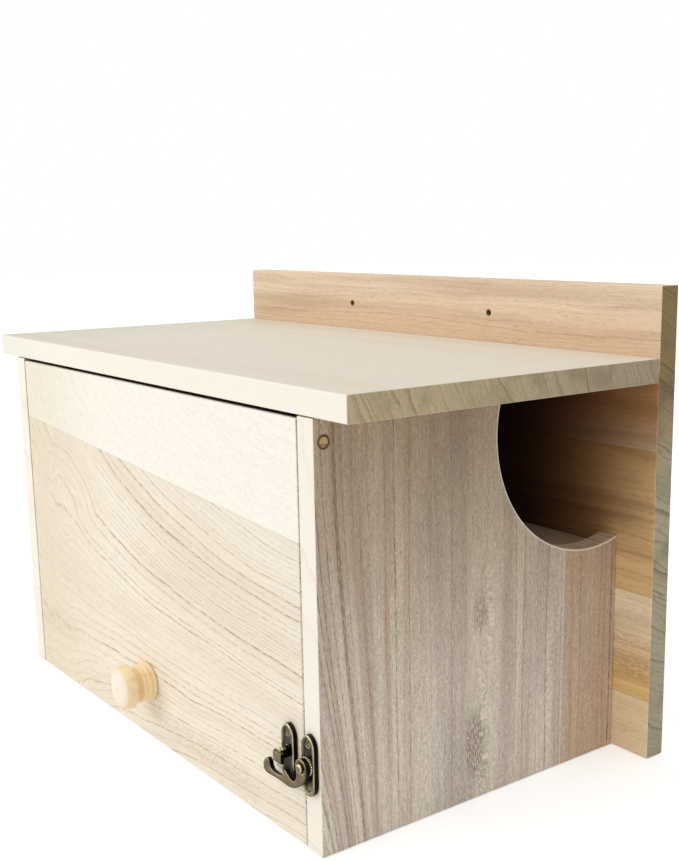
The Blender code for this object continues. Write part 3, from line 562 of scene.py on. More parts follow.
def back_wood(colours):
    """Four strips of unlike colour, warmest behind the entrance. Painted shade darkens its front face
    under the roof, warm inside the box and darkest towards the board's middle, and just above the roof.
    """
    wood = Wood("back_wood", X, Z, colours.back_pale, 23.0)
    wood.force = 0.35
    wood.strips([(31.0, 0.0, colours.back_pale, 0.5), (86.5, 0.0, colours.back_gold, 0.9),
                 (161.0, 0.0, colours.back, 0.6)])
    wood.sway(14.0)
    wood.lean(0.5)
    wood.warm(colours.back_line, 0.5, 0.005, 0.12)
    wood.rings(colours.back_line, 3.6, 0.5, 0.9)
    wood.fibre(0.22, 0.18)
    wood.marks(colours.back_line, [(170.0, 48.0, 60.0, 9.0, 0.5), (170.0, 60.0, 40.0, 5.0, 0.4)])
    # Painted shade on the front face under the roof: below marks that face, light how much light reaches
    # it from the right, and beside the lit lower strip beside the box
    aside = wood.math("ABSOLUTE", wood.run)
    plane = INSIDE_HIGH.y
    roof = 202.0
    below = wood.times(wood.fade(wood.rise, roof - 2.0, roof, 1.0, 0.0),
                       wood.fade(wood.through, plane + 0.1, plane + 0.4, 1.0, 0.0))
    deep, open_air = 84.0, 190.0
    span = open_air - deep
    light = wood.power(wood.most(wood.line(aside, 1 / span, -deep / span), 0.0), 1.8)
    beside = wood.times(wood.fade(aside, 150.0, 160.0), wood.fade(wood.rise, 98.0, 128.0, 1.0, 0.0))
    dark = wood.times(below, wood.less(1.0, beside))
    # Painted warm shade on the board under the roof, inside the box
    wood.stain(colours.back_warm_shade, wood.times(dark, wood.fade(aside, 125.0, open_air, 1.0, 0.0)))
    # Painted shade under the eaves, darkest near the roof
    wood.stain(colours.back_eaves_shade, wood.times(below, wood.fade(wood.rise, 138.0, 185.0)))
    low = wood.times(wood.fade(wood.rise, 30.9, 31.1, 0.25, 1.0),
                     wood.fade(wood.rise, 36.0, 74.0, 1.0, 0.0))
    wood.stain(colours.back_foot, low)
    # Painted shade on the board just above the roof
    wood.stain(colours.back_shade, wood.between(wood.rise, roof, roof + 1.0, 214.0, 234.0))
    # Painted shade, darkest deep inside towards the board's middle
    wood.stain(colours.back_deep_shade, wood.times(dark, wood.less(1.0, light)))
    wood.ends(colours.back_end, colours.back_end_line, 4.0)
    # Darker and more golden towards the top of the back's end
    wood.stain(colours.back_end_top, wood.times(wood.facing(X), wood.fade(wood.rise, 140.0, 200.0)))
    return wood.planed()


def side_wood(colours):
    """Upright grain: dark streaks at the front that lean back at the foot, a plain middle with
    two knots, and a warmer strip behind a glue line. Painted shade darkens it towards the top, in
    the middle under the roof and inside the box, a painted highlight lies along the entrance's
    outer edge, and a painted shadow rings the pin hole."""
    wood = Wood("side_wood", Z, Y, colours.side, 37.0)
    height = 195.0
    foot = wood.power(wood.most(wood.line(wood.run, -1 / height, 1.0), 0.0), 2.0)
    leaning = wood.fade(wood.rise, -95.0, -48.0, -30.0, 0.0)
    wood.bend(wood.add(wood.rise, wood.times(foot, leaning)))
    wood.strips([(54.5, 0.013, colours.side_rear, 0.6)])
    wood.swirl([(93.0, -1.0, 40.0, 9.0, 4.0), (28.0, -5.0, 45.0, 10.0, 5.0)])
    wood.sway(7.0, 0.006, 0.05)
    wood.warm(colours.side_cool, 0.75, 0.005, 0.07, 0.42, 0.66)
    front = wood.fade(wood.rise, -56.0, -34.0, 1.0, 0.26)
    wood.force = wood.most(front, wood.fade(wood.rise, 8.0, 30.0, 0.26, 0.6))
    wood.warm(colours.side_warm, 0.6, 0.004, 0.14, 0.4, 0.66)
    wood.rings(colours.side_line, 5.6, 0.32, 1.6, 40.0)
    wood.fibre(0.36, 0.24, 1.0)
    wood.marks(colours.side_line, [(93.0, -1.0, 14.0, 6.0, 0.55), (28.0, -5.0, 22.0, 8.0, 0.7),
                                   (20.0, -8.0, 45.0, 17.0, 0.3)])
    # Painted shade towards the top, under the roof
    wood.stain(colours.side_top_shade, wood.fade(wood.run, 0.0, 205.0))
    # Painted shade in the middle of the side, strongest under the roof
    middle = wood.times(wood.fade(wood.rise, -60.0, -30.0), wood.fade(wood.rise, 20.0, 60.0, 1.0, 0.5))
    wood.stain(colours.side_middle_shade, wood.times(middle, wood.fade(wood.run, 70.0, 190.0, 0.12, 1.0)))
    # Painted shade inside the box
    wood.indoor_shade(colours.indoor_shade)
    wood.front(colours.front_edge_and_rim_highlight, colours.side_warm)
    # Painted highlight along the outer edge of the entrance
    rim = wood.times(wood.ring_at(Y, Z, ENTRANCE, ENTRANCE_RADIUS, 1.3), wood.facing(X, 0.2, 0.5))
    outer = wood.fade(wood.place_mm[X], ENTRANCE.x + 0.5, ENTRANCE.x + 1.5, 0.0, 0.7)
    wood.paint(wood.times(rim, outer), colours.front_edge_and_rim_highlight)
    wood.ends(colours.side_rear, colours.side_line)
    # Painted shadow ring round the pin hole
    wood.paint(wood.times(wood.ring_at(Y, Z, HINGE, 3.0, 0.5), 0.8), colours.plug_line_and_shadow)
    return wood.planed()


def inner_wood(colours):
    """Plain boards inside the box."""
    wood = Wood("inner_wood", X, Y, colours.side, 51.0)
    wood.sway(14.0)
    wood.lean(0.4)
    wood.warm(colours.side_warm, 0.3)
    wood.rings(colours.side_warm, 4.4, 0.5, 0.6)
    wood.fibre(0.14, 0.12)
    wood.ends(colours.roof_end, colours.roof_end_line)
    # Painted shade inside the box
    wood.indoor_shade(colours.indoor_shade)
    return wood.planed(0.66)


def knob_wood(colours):
    """Turned wood, its grain along the knob's axis and end grain on its face."""
    wood = Wood("knob_wood", Y, Z, colours.knob, 71.0)
    wood.sway(4.0, 0.03, 0.12)
    wood.lean(0.5)
    wood.warm(colours.knob_line, 0.3, 0.02, 0.25)
    wood.rings(colours.knob_line, 2.4, 0.5, 0.3, 6.0)
    wood.fibre(0.08, 0.05)
    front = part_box("door_knob")[0].y / MM
    end = wood.times(wood.facing(Y, 0.7, 0.99),
                     wood.fade(wood.run, front + 2.0, front + 6.0, 1.0, 0.0))
    wood.paint(end, wood.mix(wood.times(wood.late, 0.15), colours.knob_face, colours.knob))
    return wood.planed(0.5)


def plug_wood(colours):
    """Round stock of the pins and dowels, its end darkened at the rim."""
    wood = Wood("plug_wood", X, Z, colours.plug, 83.0)
    wood.rings(colours.plug_line_and_shadow, 1.5, 0.6, 0.6, 3.0)
    wood.fibre(0.16, 0.14)
    wood.ends(colours.plug, colours.plug_line_and_shadow)
    wood.paint(wood.times(wood.ring_at(Y, Z, HINGE, 2.7, 0.9), 0.85), colours.plug_line_and_shadow)
    return wood.planed()


def antique_brass(colours, name, high_y, low_y, rub, spot, soft, rim):
    """Blackened brass. What looks to the front is rubbed, bright where it stands at high_y and
    dark where it lies at low_y, both in millimetres. Edges show wear, painted brighter as a
    highlight where they look up and to the left; hollows and sides are dark, and every face is
    painted lighter or darker by how far it looks up and to the left, as painted light and shade.
    spot is a function for a place that is rubbed or painted bright as a highlight, soft is how far
    in from an edge, in millimetres, the rounding reaches that sets this painted light, and rim is
    the strength of a painted highlight on rounded rims."""
    metal = Finish(name, 1.0)
    smudge = metal.clouds(520.0, 4.0, 0.6)
    speck = metal.clouds(2600.0, 2.0)
    bare = metal.open(1.6 * MM)
    raised = metal.fade(metal.place_mm[Y], high_y, low_y, 1.0, 0.0)
    rubbed = metal.times(metal.times(metal.facing(Y, 0.35, 0.95), raised), rub)
    rubbed = metal.times(rubbed, metal.fade(smudge, 0.3, 0.66, 0.4, 1.0))
    rubbed = metal.times(rubbed, metal.fade(bare, 0.4, 0.9))
    # Painted light: how far the surface looks up and to the left, towards the light
    up = metal.towards(metal.rounded(soft * MM), (-0.5, -0.35, 0.8))
    # Edge wear, painted brighter as a highlight where the edge looks up and to the left
    wear_and_highlight = metal.times(metal.fade(metal.edge(0.35 * MM), 0.005, 0.04), metal.fade(bare, 0.3, 0.6))
    wear_and_highlight = metal.times(wear_and_highlight, metal.fade(up, 0.0, 0.6, 0.1, 1.0))
    # Painted highlight on rounded crowns, strongest where they look up and to the left
    crown_highlight = metal.times(metal.facing(Y, 0.4, 0.75), metal.less(1.0, metal.facing(Y, 0.9, 0.98)))
    crown_highlight = metal.times(metal.times(crown_highlight, metal.fade(up, -0.4, 0.4, 0.4, 1.0)), rim)
    wear_and_highlight = metal.most(wear_and_highlight, metal.times(crown_highlight, metal.fade(bare, 0.3, 0.6)))
    wear_and_highlight = metal.times(wear_and_highlight, metal.fade(smudge, 0.3, 0.6, 0.7, 1.0))
    if spot is not None:
        wear_and_highlight = metal.most(wear_and_highlight, spot(metal))
    tone = metal.mix(metal.fade(smudge, 0.35, 0.8, 0.0, 0.22), colours.patina, colours.bronze)
    tone = metal.mix(rubbed, tone, colours.bronze)
    # Painted light and shade: faces that look up and to the left lighter, the others darker
    tone = metal.shade(tone, metal.fade(up, -0.2, 0.9, 0.25, 1.7))
    tone = metal.mix(wear_and_highlight, tone, colours.wear_and_highlight)
    tone = metal.shade(tone, metal.line(speck, 0.3, 0.85))
    roughness = metal.line(smudge, 0.2, 0.22)
    return metal.done(tone, roughness, metal.add(smudge, speck), 0.03 * MM, 0.3)


def zinc_plate(colours):
    """Zinc plated steel, slightly clouded."""
    metal = Finish("zinc_plate", 1.0)
    cloud = metal.clouds(900.0, 3.0)
    dull = tuple(0.6 * part for part in colours.zinc)
    tone = metal.mix(metal.fade(cloud, 0.3, 0.7), dull, colours.zinc)
    return metal.done(tone, metal.line(cloud, 0.25, 0.22), cloud, 0.02 * MM, 0.3)


def dress(node, material):
    """Give a CAD node its material."""
    mesh = frame["nodes"][node].data
    mesh.materials.clear()
    mesh.materials.append(material)


def start_piece():
    """Leave edit mode and let go of everything before a new piece is added."""
    if bpy.context.object and bpy.context.object.mode != "OBJECT":
        bpy.ops.object.mode_set(mode="OBJECT")
    bpy.ops.object.select_all(action="DESELECT")


def only(piece):
    """Select one piece alone and make it the active one."""
    start_piece()
    piece.select_set(True)
    bpy.context.view_layer.objects.active = piece


def modify(piece, kind, **values):
    """Add a modifier, set it and apply it."""
    only(piece)
    made = piece.modifiers.new(kind.lower(), kind)
    for name, value in values.items():
        setattr(made, name, value)
    bpy.ops.object.modifier_apply(modifier=made.name)


def ease(piece, width, segments, angle):
    """Round a piece's sharp edges."""
    modify(piece, "BEVEL", width=width, segments=segments, limit_method="ANGLE",
           angle_limit=math.radians(angle), use_clamp_overlap=True)


def combine(piece, other, operation="DIFFERENCE"):
    """Cut another piece's shape out of one, or unite both, and drop the other."""
    modify(piece, "BOOLEAN", operation=operation, solver="EXACT", object=other)
    bpy.data.objects.remove(other, do_unlink=True)


def merge(pieces):
    """Join pieces into the first one."""
    only(pieces[0])
    for piece in pieces[1:]:
        piece.select_set(True)
    bpy.ops.object.join()
    return pieces[0]


def cast(piece, grain, rounds):
    """Fuse joined forms into one casting and soften its edges."""
    modify(piece, "REMESH", mode="VOXEL", voxel_size=grain, use_smooth_shade=True)
    modify(piece, "SMOOTH", factor=0.5, iterations=rounds)


def settle(piece, name, material, body, slot, *stands_for):
    """Name a finished piece, put its place in its mesh, and tie it to the frame."""
    only(piece)
    bpy.ops.object.transform_apply(location=True, rotation=True, scale=True)
    bpy.ops.object.shade_smooth_by_angle(angle=math.radians(32))
    piece.name = name
    piece.data.name = name
    piece.data.materials.clear()
    piece.data.materials.append(material)
    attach(piece, body)
    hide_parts(*stands_for)


def repeat(first, places):
    """The piece that was made at the first place, and a copy with its own mesh at each other."""
    pieces = [first]
    for place in places[1:]:
        made = first.copy()
        made.data = first.data.copy()
        bpy.context.scene.collection.objects.link(made)
        made.location = first.location + place - places[0]
        pieces.append(made)
    return pieces


def centre_of(node, y=None):
    """Middle of a node's box, with another depth if one is given."""
    low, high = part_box(node)
    middle = (low + high) / 2
    return Vector((middle.x, middle.y if y is None else y, middle.z))


def turned(profile, base, direction, sides):
    """Turn a piece: a disc is extruded ring by ring along the axis. The profile is a list of
    (distance, radius)."""
    direction = Vector(direction)
    start_piece()
    bpy.ops.mesh.primitive_circle_add(vertices=sides, radius=profile[0][1], fill_type="NGON",
                                      location=Vector(base) + direction * profile[0][0],
                                      rotation=direction.to_track_quat("Z", "Y").to_euler())
    bpy.ops.object.mode_set(mode="EDIT")
    bpy.ops.mesh.select_all(action="SELECT")
    for (before, wide), (distance, radius) in zip(profile, profile[1:]):
        bpy.ops.mesh.extrude_region_move(
            TRANSFORM_OT_translate={"value": direction * (distance - before)})
        bpy.ops.transform.resize(value=(radius / wide,) * 3,
                                 center_override=Vector(base) + direction * distance)
    finish_edit()
    return bpy.context.object


def finish_edit():
    """Turn every face outwards and leave edit mode."""
    bpy.ops.mesh.select_all(action="SELECT")
    bpy.ops.mesh.normals_make_consistent(inside=False)
    bpy.ops.object.mode_set(mode="OBJECT")


def drill(piece, profile, base, direction, sides):
    """Cut a turned shape out of a piece."""
    combine(piece, turned(profile, base, direction, sides))


def scaled(shares, reach, radius):
    """Profile given in shares, at its real reach and radius."""
    return [(reach * along, radius * out) for along, out in shares]


def smooth_run(points, steps):
    """Smooth curve through a run of points, both ends included."""
    curve = []
    last = len(points) - 1
    for i in range(last):
        before, first, second, after = (Vector(points[min(max(i + k, 0), last)])
                                        for k in (-1, 0, 1, 2))
        for step in range(steps):
            t = step / steps
            point = 2 * first + (second - before) * t
            point += (2 * before - 5 * first + 4 * second - after) * t ** 2
            point += (3 * first - before - 3 * second + after) * t ** 3
            curve.append(tuple(point / 2))
    curve.append(tuple(points[-1]))
    return curve


def sawn(outline, centre, back, front):
    """Saw a flat piece. A single point is extruded along the outline, given in metres round the
    centre, then the loop is closed, filled and extruded from its back to its front."""
    start_piece()
    bpy.ops.mesh.primitive_plane_add(size=MM, location=(0, 0, 0))
    bpy.ops.object.mode_set(mode="EDIT")
    bpy.ops.mesh.select_mode(type="VERT")
    bpy.ops.mesh.select_all(action="SELECT")
    bpy.ops.mesh.merge(type="CENTER")
    points = [Vector((centre[0] + u, back, centre[1] + v)) for u, v in outline]
    bpy.ops.transform.translate(value=points[0])
    for before, after in zip(points, points[1:]):
        bpy.ops.mesh.extrude_region_move(TRANSFORM_OT_translate={"value": after - before})
    bpy.ops.mesh.select_all(action="SELECT")
    bpy.ops.mesh.edge_face_add()
    bpy.ops.mesh.select_all(action="SELECT")
    bpy.ops.mesh.extrude_region_move(TRANSFORM_OT_translate={"value": (0, front - back, 0)})
    finish_edit()
    return bpy.context.object


def select_faces(piece, test):
    """Select in edit mode the faces that pass a test."""
    only(piece)
    for part in (piece.data.vertices, piece.data.edges, piece.data.polygons):
        part.foreach_set("select", [False] * len(part))
    for face in piece.data.polygons:
        face.select = test(face)
    bpy.ops.object.mode_set(mode="EDIT")
    bpy.ops.mesh.select_mode(type="FACE")


def select_front(piece):
    """Select in edit mode a piece's largest face that looks to the front."""
    faces = [face for face in piece.data.polygons if face.normal.y < -0.99]
    largest = max(faces, key=lambda face: face.area).index
    select_faces(piece, lambda face: face.index == largest)


def arc_points(centre, radius, start, end, steps):
    """Points along an arc, in degrees, both ends included."""
    angles = [math.radians(start + (end - start) * i / steps) for i in range(steps + 1)]
    return [(centre[0] + radius * math.cos(a), centre[1] + radius * math.sin(a)) for a in angles]


def placed(size=(1, 1, 1)):
    """Scale the piece that was just added, and put its place in its mesh."""
    made = bpy.context.object
    made.scale = size
    bpy.ops.object.transform_apply(location=True, rotation=True, scale=True)
    return made


def block(centre, size):
    """Plain block at its size and place."""
    start_piece()
    bpy.ops.mesh.primitive_cube_add(size=1, location=centre)
    return placed(size)


def ball(centre, radii, subdivisions=4):
    """Squashed ball, with its three radii in metres."""
    start_piece()
    bpy.ops.mesh.primitive_ico_sphere_add(subdivisions=subdivisions, radius=1, location=centre)
    return placed(radii)


def cross_bit(reach, half, depth, mouth, inward):
    """Tapered cross bit that sinks a recess into a screw head."""
    blades = []
    for size in ((half, depth, reach), (reach, depth, half)):
        blade = block(mouth, [2 * side for side in size])
        select_faces(blade, lambda face: face.normal.y * inward > 0.9)
        bpy.ops.transform.resize(value=(0.55, 1, 0.55), center_override=mouth)
        bpy.ops.object.mode_set(mode="OBJECT")
        blades.append(blade)
    combine(blades[0], blades[1], "UNION")
    return blades[0]


def threads(start, end, radius, pitch):
    """Profile of a threaded shank: ridges between two distances."""
    count = int((end - start) / pitch)
    profile = []
    for i in range(count):
        profile += [(start + pitch * (i + 0.4), radius * 0.78), (start + pitch * (i + 1), radius)]
    return profile


def wood_screw(mouth, direction, head, shank, reach, crown):
    """Countersunk screw with a low crown, a cross recess and a threaded shank."""
    profile = scaled([(-1.0, 0.3), (-0.8, 0.62), (-0.35, 0.88), (0.0, 1.0)], crown, head)
    profile += [(head * 0.12, head), (head * 1.12 - shank, shank)]
    profile += threads(head * 1.12, reach * 0.8, shank, shank * 1.1)
    profile += [(reach * 0.86, shank * 0.6), (reach, shank * 0.08)]
    screw = turned(profile, mouth, direction, 32)
    top = Vector(mouth) - Vector(direction) * crown
    bit = cross_bit(head * 0.56, head * 0.13, head * 0.42 + crown, top, direction[Y])
    combine(screw, bit)
    return screw


class NEST_OT_stage(Operator):
    """Pale floor, plain soft light and the camera"""
    bl_idname = "nest_box.stage"
    bl_label = "Stage and Camera"

    def execute(self, context):
        studio = settings().studio
        context.scene.view_settings.view_transform = "Standard"
        self.make_floor(studio)
        self.make_sky(studio)
        bpy.ops.object.light_add(type="AREA", location=(-0.75, -1.9, 1.15))
        key = context.object
        key.name = "front_window"
        key.data.energy = studio.key
        key.data.shape = "RECTANGLE"
        key.data.size = 1.5
        key.data.size_y = 1.2
        aim = Vector((0, 0, 0.1)) - key.location
        key.rotation_euler = aim.to_track_quat("-Z", "Y").to_euler()
        self.make_camera(context, studio)
        return {"FINISHED"}

    def make_floor(self, studio):
        """Wide floor that keeps the shadow and lifts to white for the camera."""
        bpy.ops.mesh.primitive_plane_add(size=14, location=(0, 0, -0.2 * MM))
        floor = placed()
        floor.name = "floor"
        paint = Finish("pale_floor")
        paint.shader.inputs["Roughness"].default_value = 0.9
        paint.shader.inputs["Base Color"].default_value = (0.93, 0.93, 0.93, 1)
        paint.shader.inputs["Emission Color"].default_value = (1, 1, 1, 1)
        lift = paint.times(self.seen(paint), studio.floor_lift)
        paint.wire(lift, paint.shader.inputs["Emission Strength"])
        floor.data.materials.append(paint.material)

    def seen(self, finish):
        """1 for what the camera, a reflection or a glass sees, and 0 for light on the object."""
        rays = finish.node("LightPath").outputs
        both = finish.most(rays["Is Camera Ray"], rays["Is Glossy Ray"])
        return finish.most(both, rays["Is Transmission Ray"])

    def make_sky(self, studio):
        """Light from all round, most from above and in front, which the camera and reflections
        see as white."""
        world = bpy.data.worlds.new("studio")
        bpy.context.scene.world = world
        world.use_nodes = True
        sky = Nodes(world.node_tree)
        background = sky.tree.nodes["Background"]
        background.inputs["Color"].default_value = (1, 1, 1, 1)
        heading = sky.node("SeparateXYZ", sky.place["Generated"]).outputs
        front = sky.fade(heading[Y], -0.9, 0.3, studio.sky_front, 0.0)
        top = sky.fade(heading[Z], 0.0, 1.0, studio.sky, studio.sky + studio.sky_top)
        light = sky.add(front, top)
        sky.wire(sky.blend(self.seen(sky), light, 1.0), background.inputs["Strength"])

    def make_camera(self, context, studio):
        """Camera at the photograph's viewpoint."""
        bpy.ops.object.camera_add()
        camera = context.object
        camera.name = "camera"
        flat = math.cos(studio.pitch)
        forward = Vector((math.sin(studio.yaw) * flat, math.cos(studio.yaw) * flat,
                          math.sin(studio.pitch)))
        level = Vector((math.cos(studio.yaw), -math.sin(studio.yaw), 0))
        upright = level.cross(forward)
        right = math.cos(studio.roll) * level + math.sin(studio.roll) * upright
        up = math.cos(studio.roll) * upright - math.sin(studio.roll) * level
        turn = Matrix((right, up, -forward)).transposed().to_4x4()
        camera.matrix_world = Matrix.Translation(studio.camera) @ turn
        camera.data.sensor_fit = "VERTICAL"
        camera.data.sensor_height = 36
        camera.data.lens = studio.lens
        camera.data.shift_x = studio.shift_x
        camera.data.shift_y = studio.shift_y
        camera.data.clip_start = 0.01
        context.scene.camera = camera


class NEST_OT_boards(Operator):
    """Planed wood on the roof, back, sides, floor, shelf and door"""
    bl_idname = "nest_box.boards"
    bl_label = "Boards"

    def execute(self, context):
        colours = settings().wood
        dress("door_panel", door_wood(colours))
        dress("roof_panel", roof_wood(colours))
        dress("back_panel", back_wood(colours))
        side = side_wood(colours)
        for node in ("right_side_panel", "left_side_panel"):
            dress(node, side)
        inner = inner_wood(colours)
        for node in ("floor_panel", "landing_shelf"):
            dress(node, inner)
        return {"FINISHED"}


class NEST_OT_knob(Operator):
    """Turned knob: a foot with three rings, a neck and a wide head with a flat dome"""
    bl_idname = "nest_box.knob"
    bl_label = "Knob"

    def execute(self, context):
        low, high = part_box("door_knob")
        reach = high.y - low.y
        head = (high.x - low.x) / 2
        foot = head * 10.3 / 11.8
        base = centre_of("door_knob", high.y)
        rings = [(0.0, 0.98), (0.02, 1.0), (0.095, 1.0), (0.12, 0.93), (0.165, 0.99), (0.225, 0.99),
                 (0.275, 0.90), (0.325, 0.97), (0.37, 0.95), (0.395, 0.87)]
        dome = [(0.42, 0.66), (0.45, 0.61), (0.48, 0.61), (0.51, 0.67), (0.54, 0.78), (0.57, 0.88),
                (0.60, 0.95), (0.635, 0.99), (0.67, 1.0), (0.72, 0.995), (0.78, 0.975), (0.835, 0.93),
                (0.885, 0.875), (0.925, 0.77), (0.95, 0.67), (0.975, 0.48), (0.99, 0.27), (1.0, 0.04)]
        profile = scaled(rings, reach, foot) + scaled(dome, reach, head)
        knob = turned(smooth_run(profile, 3), base, (0, -1, 0), 72)
        hole = 2.1 * MM
        depth = 12.3 * MM
        drill(knob, [(-1 * MM, hole), (depth, hole)], base, (0, -1, 0), 32)
        settle(knob, "turned_knob", knob_wood(settings().wood), "door", "knob_wood", "door_knob")
        return {"FINISHED"}


class NEST_OT_screws(Operator):
    """Zinc plated screws in the back board, and the pan head screw that holds the knob"""
    bl_idname = "nest_box.screws"
    bl_label = "Screws"

    def execute(self, context):
        zinc = zinc_plate(settings().metal)
        names = sorted(name for name in frame["nodes"] if name.startswith("back_screw"))
        low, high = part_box(names[0])
        head = (high.x - low.x) / 2
        shank = 1.6 * MM
        places = [centre_of(name, high.y) for name in names]
        first = wood_screw(places[0], (0, -1, 0), head, shank, high.y - low.y, 0)
        for name, piece in zip(names, repeat(first, places)):
            settle(piece, "zinc_" + name, zinc, "box", "zinc", name)
        self.knob_screw(zinc)
        return {"FINISHED"}

    def knob_screw(self, zinc):
        """Pan head screw from inside the door."""
        low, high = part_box("knob_screw")
        head = (high.x - low.x) / 2
        reach = high.y - low.y
        height = 2.4 * MM
        shank = 1.8 * MM
        mouth = centre_of("knob_screw", high.y)
        pan = [(0.01, 0.5), (0.1, 0.76), (0.34, 0.94), (0.66, 1.0), (1.0, 1.0)]
        profile = scaled(pan, height, head)
        profile += [(height, shank), (height * 1.3, shank)]
        profile += threads(height * 1.3, reach - 2.2 * MM, shank, 1.2 * MM)
        profile += [(reach - 1.5 * MM, shank * 0.6), (reach, shank * 0.1)]
        screw = turned(profile, mouth, (0, -1, 0), 32)
        combine(screw, cross_bit(head * 0.52, head * 0.13, head * 0.34, mouth, -1))
        settle(screw, "zinc_knob_screw", zinc, "door", "zinc", "knob_screw")


class NEST_OT_pins(Operator):
    """Pivot pins with eased ends, and the finish of the dowels"""
    bl_idname = "nest_box.pins"
    bl_label = "Pins and Dowels"

    def execute(self, context):
        plug = plug_wood(settings().wood)
        for side, sign in (("left", -1), ("right", 1)):
            node = side + "_pivot_pin"
            low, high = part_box(node)
            radius = (high.z - low.z) / 2
            reach = high.x - low.x
            base = centre_of(node)
            base.x = high.x if sign > 0 else low.x
            profile = [(0.0, radius * 0.86), (0.15 * MM, radius * 0.96), (0.4 * MM, radius),
                       (reach * 0.5, radius * 0.995), (reach - 0.5 * MM, radius),
                       (reach, radius * 0.82)]
            pin = turned(profile, base, (-sign, 0, 0), 40)
            settle(pin, "turned_" + node, plug, "box", "dowel_wood", node)
        for name in frame["nodes"]:
            if "dowel" in name:
                dress(name, plug)
        return {"FINISHED"}


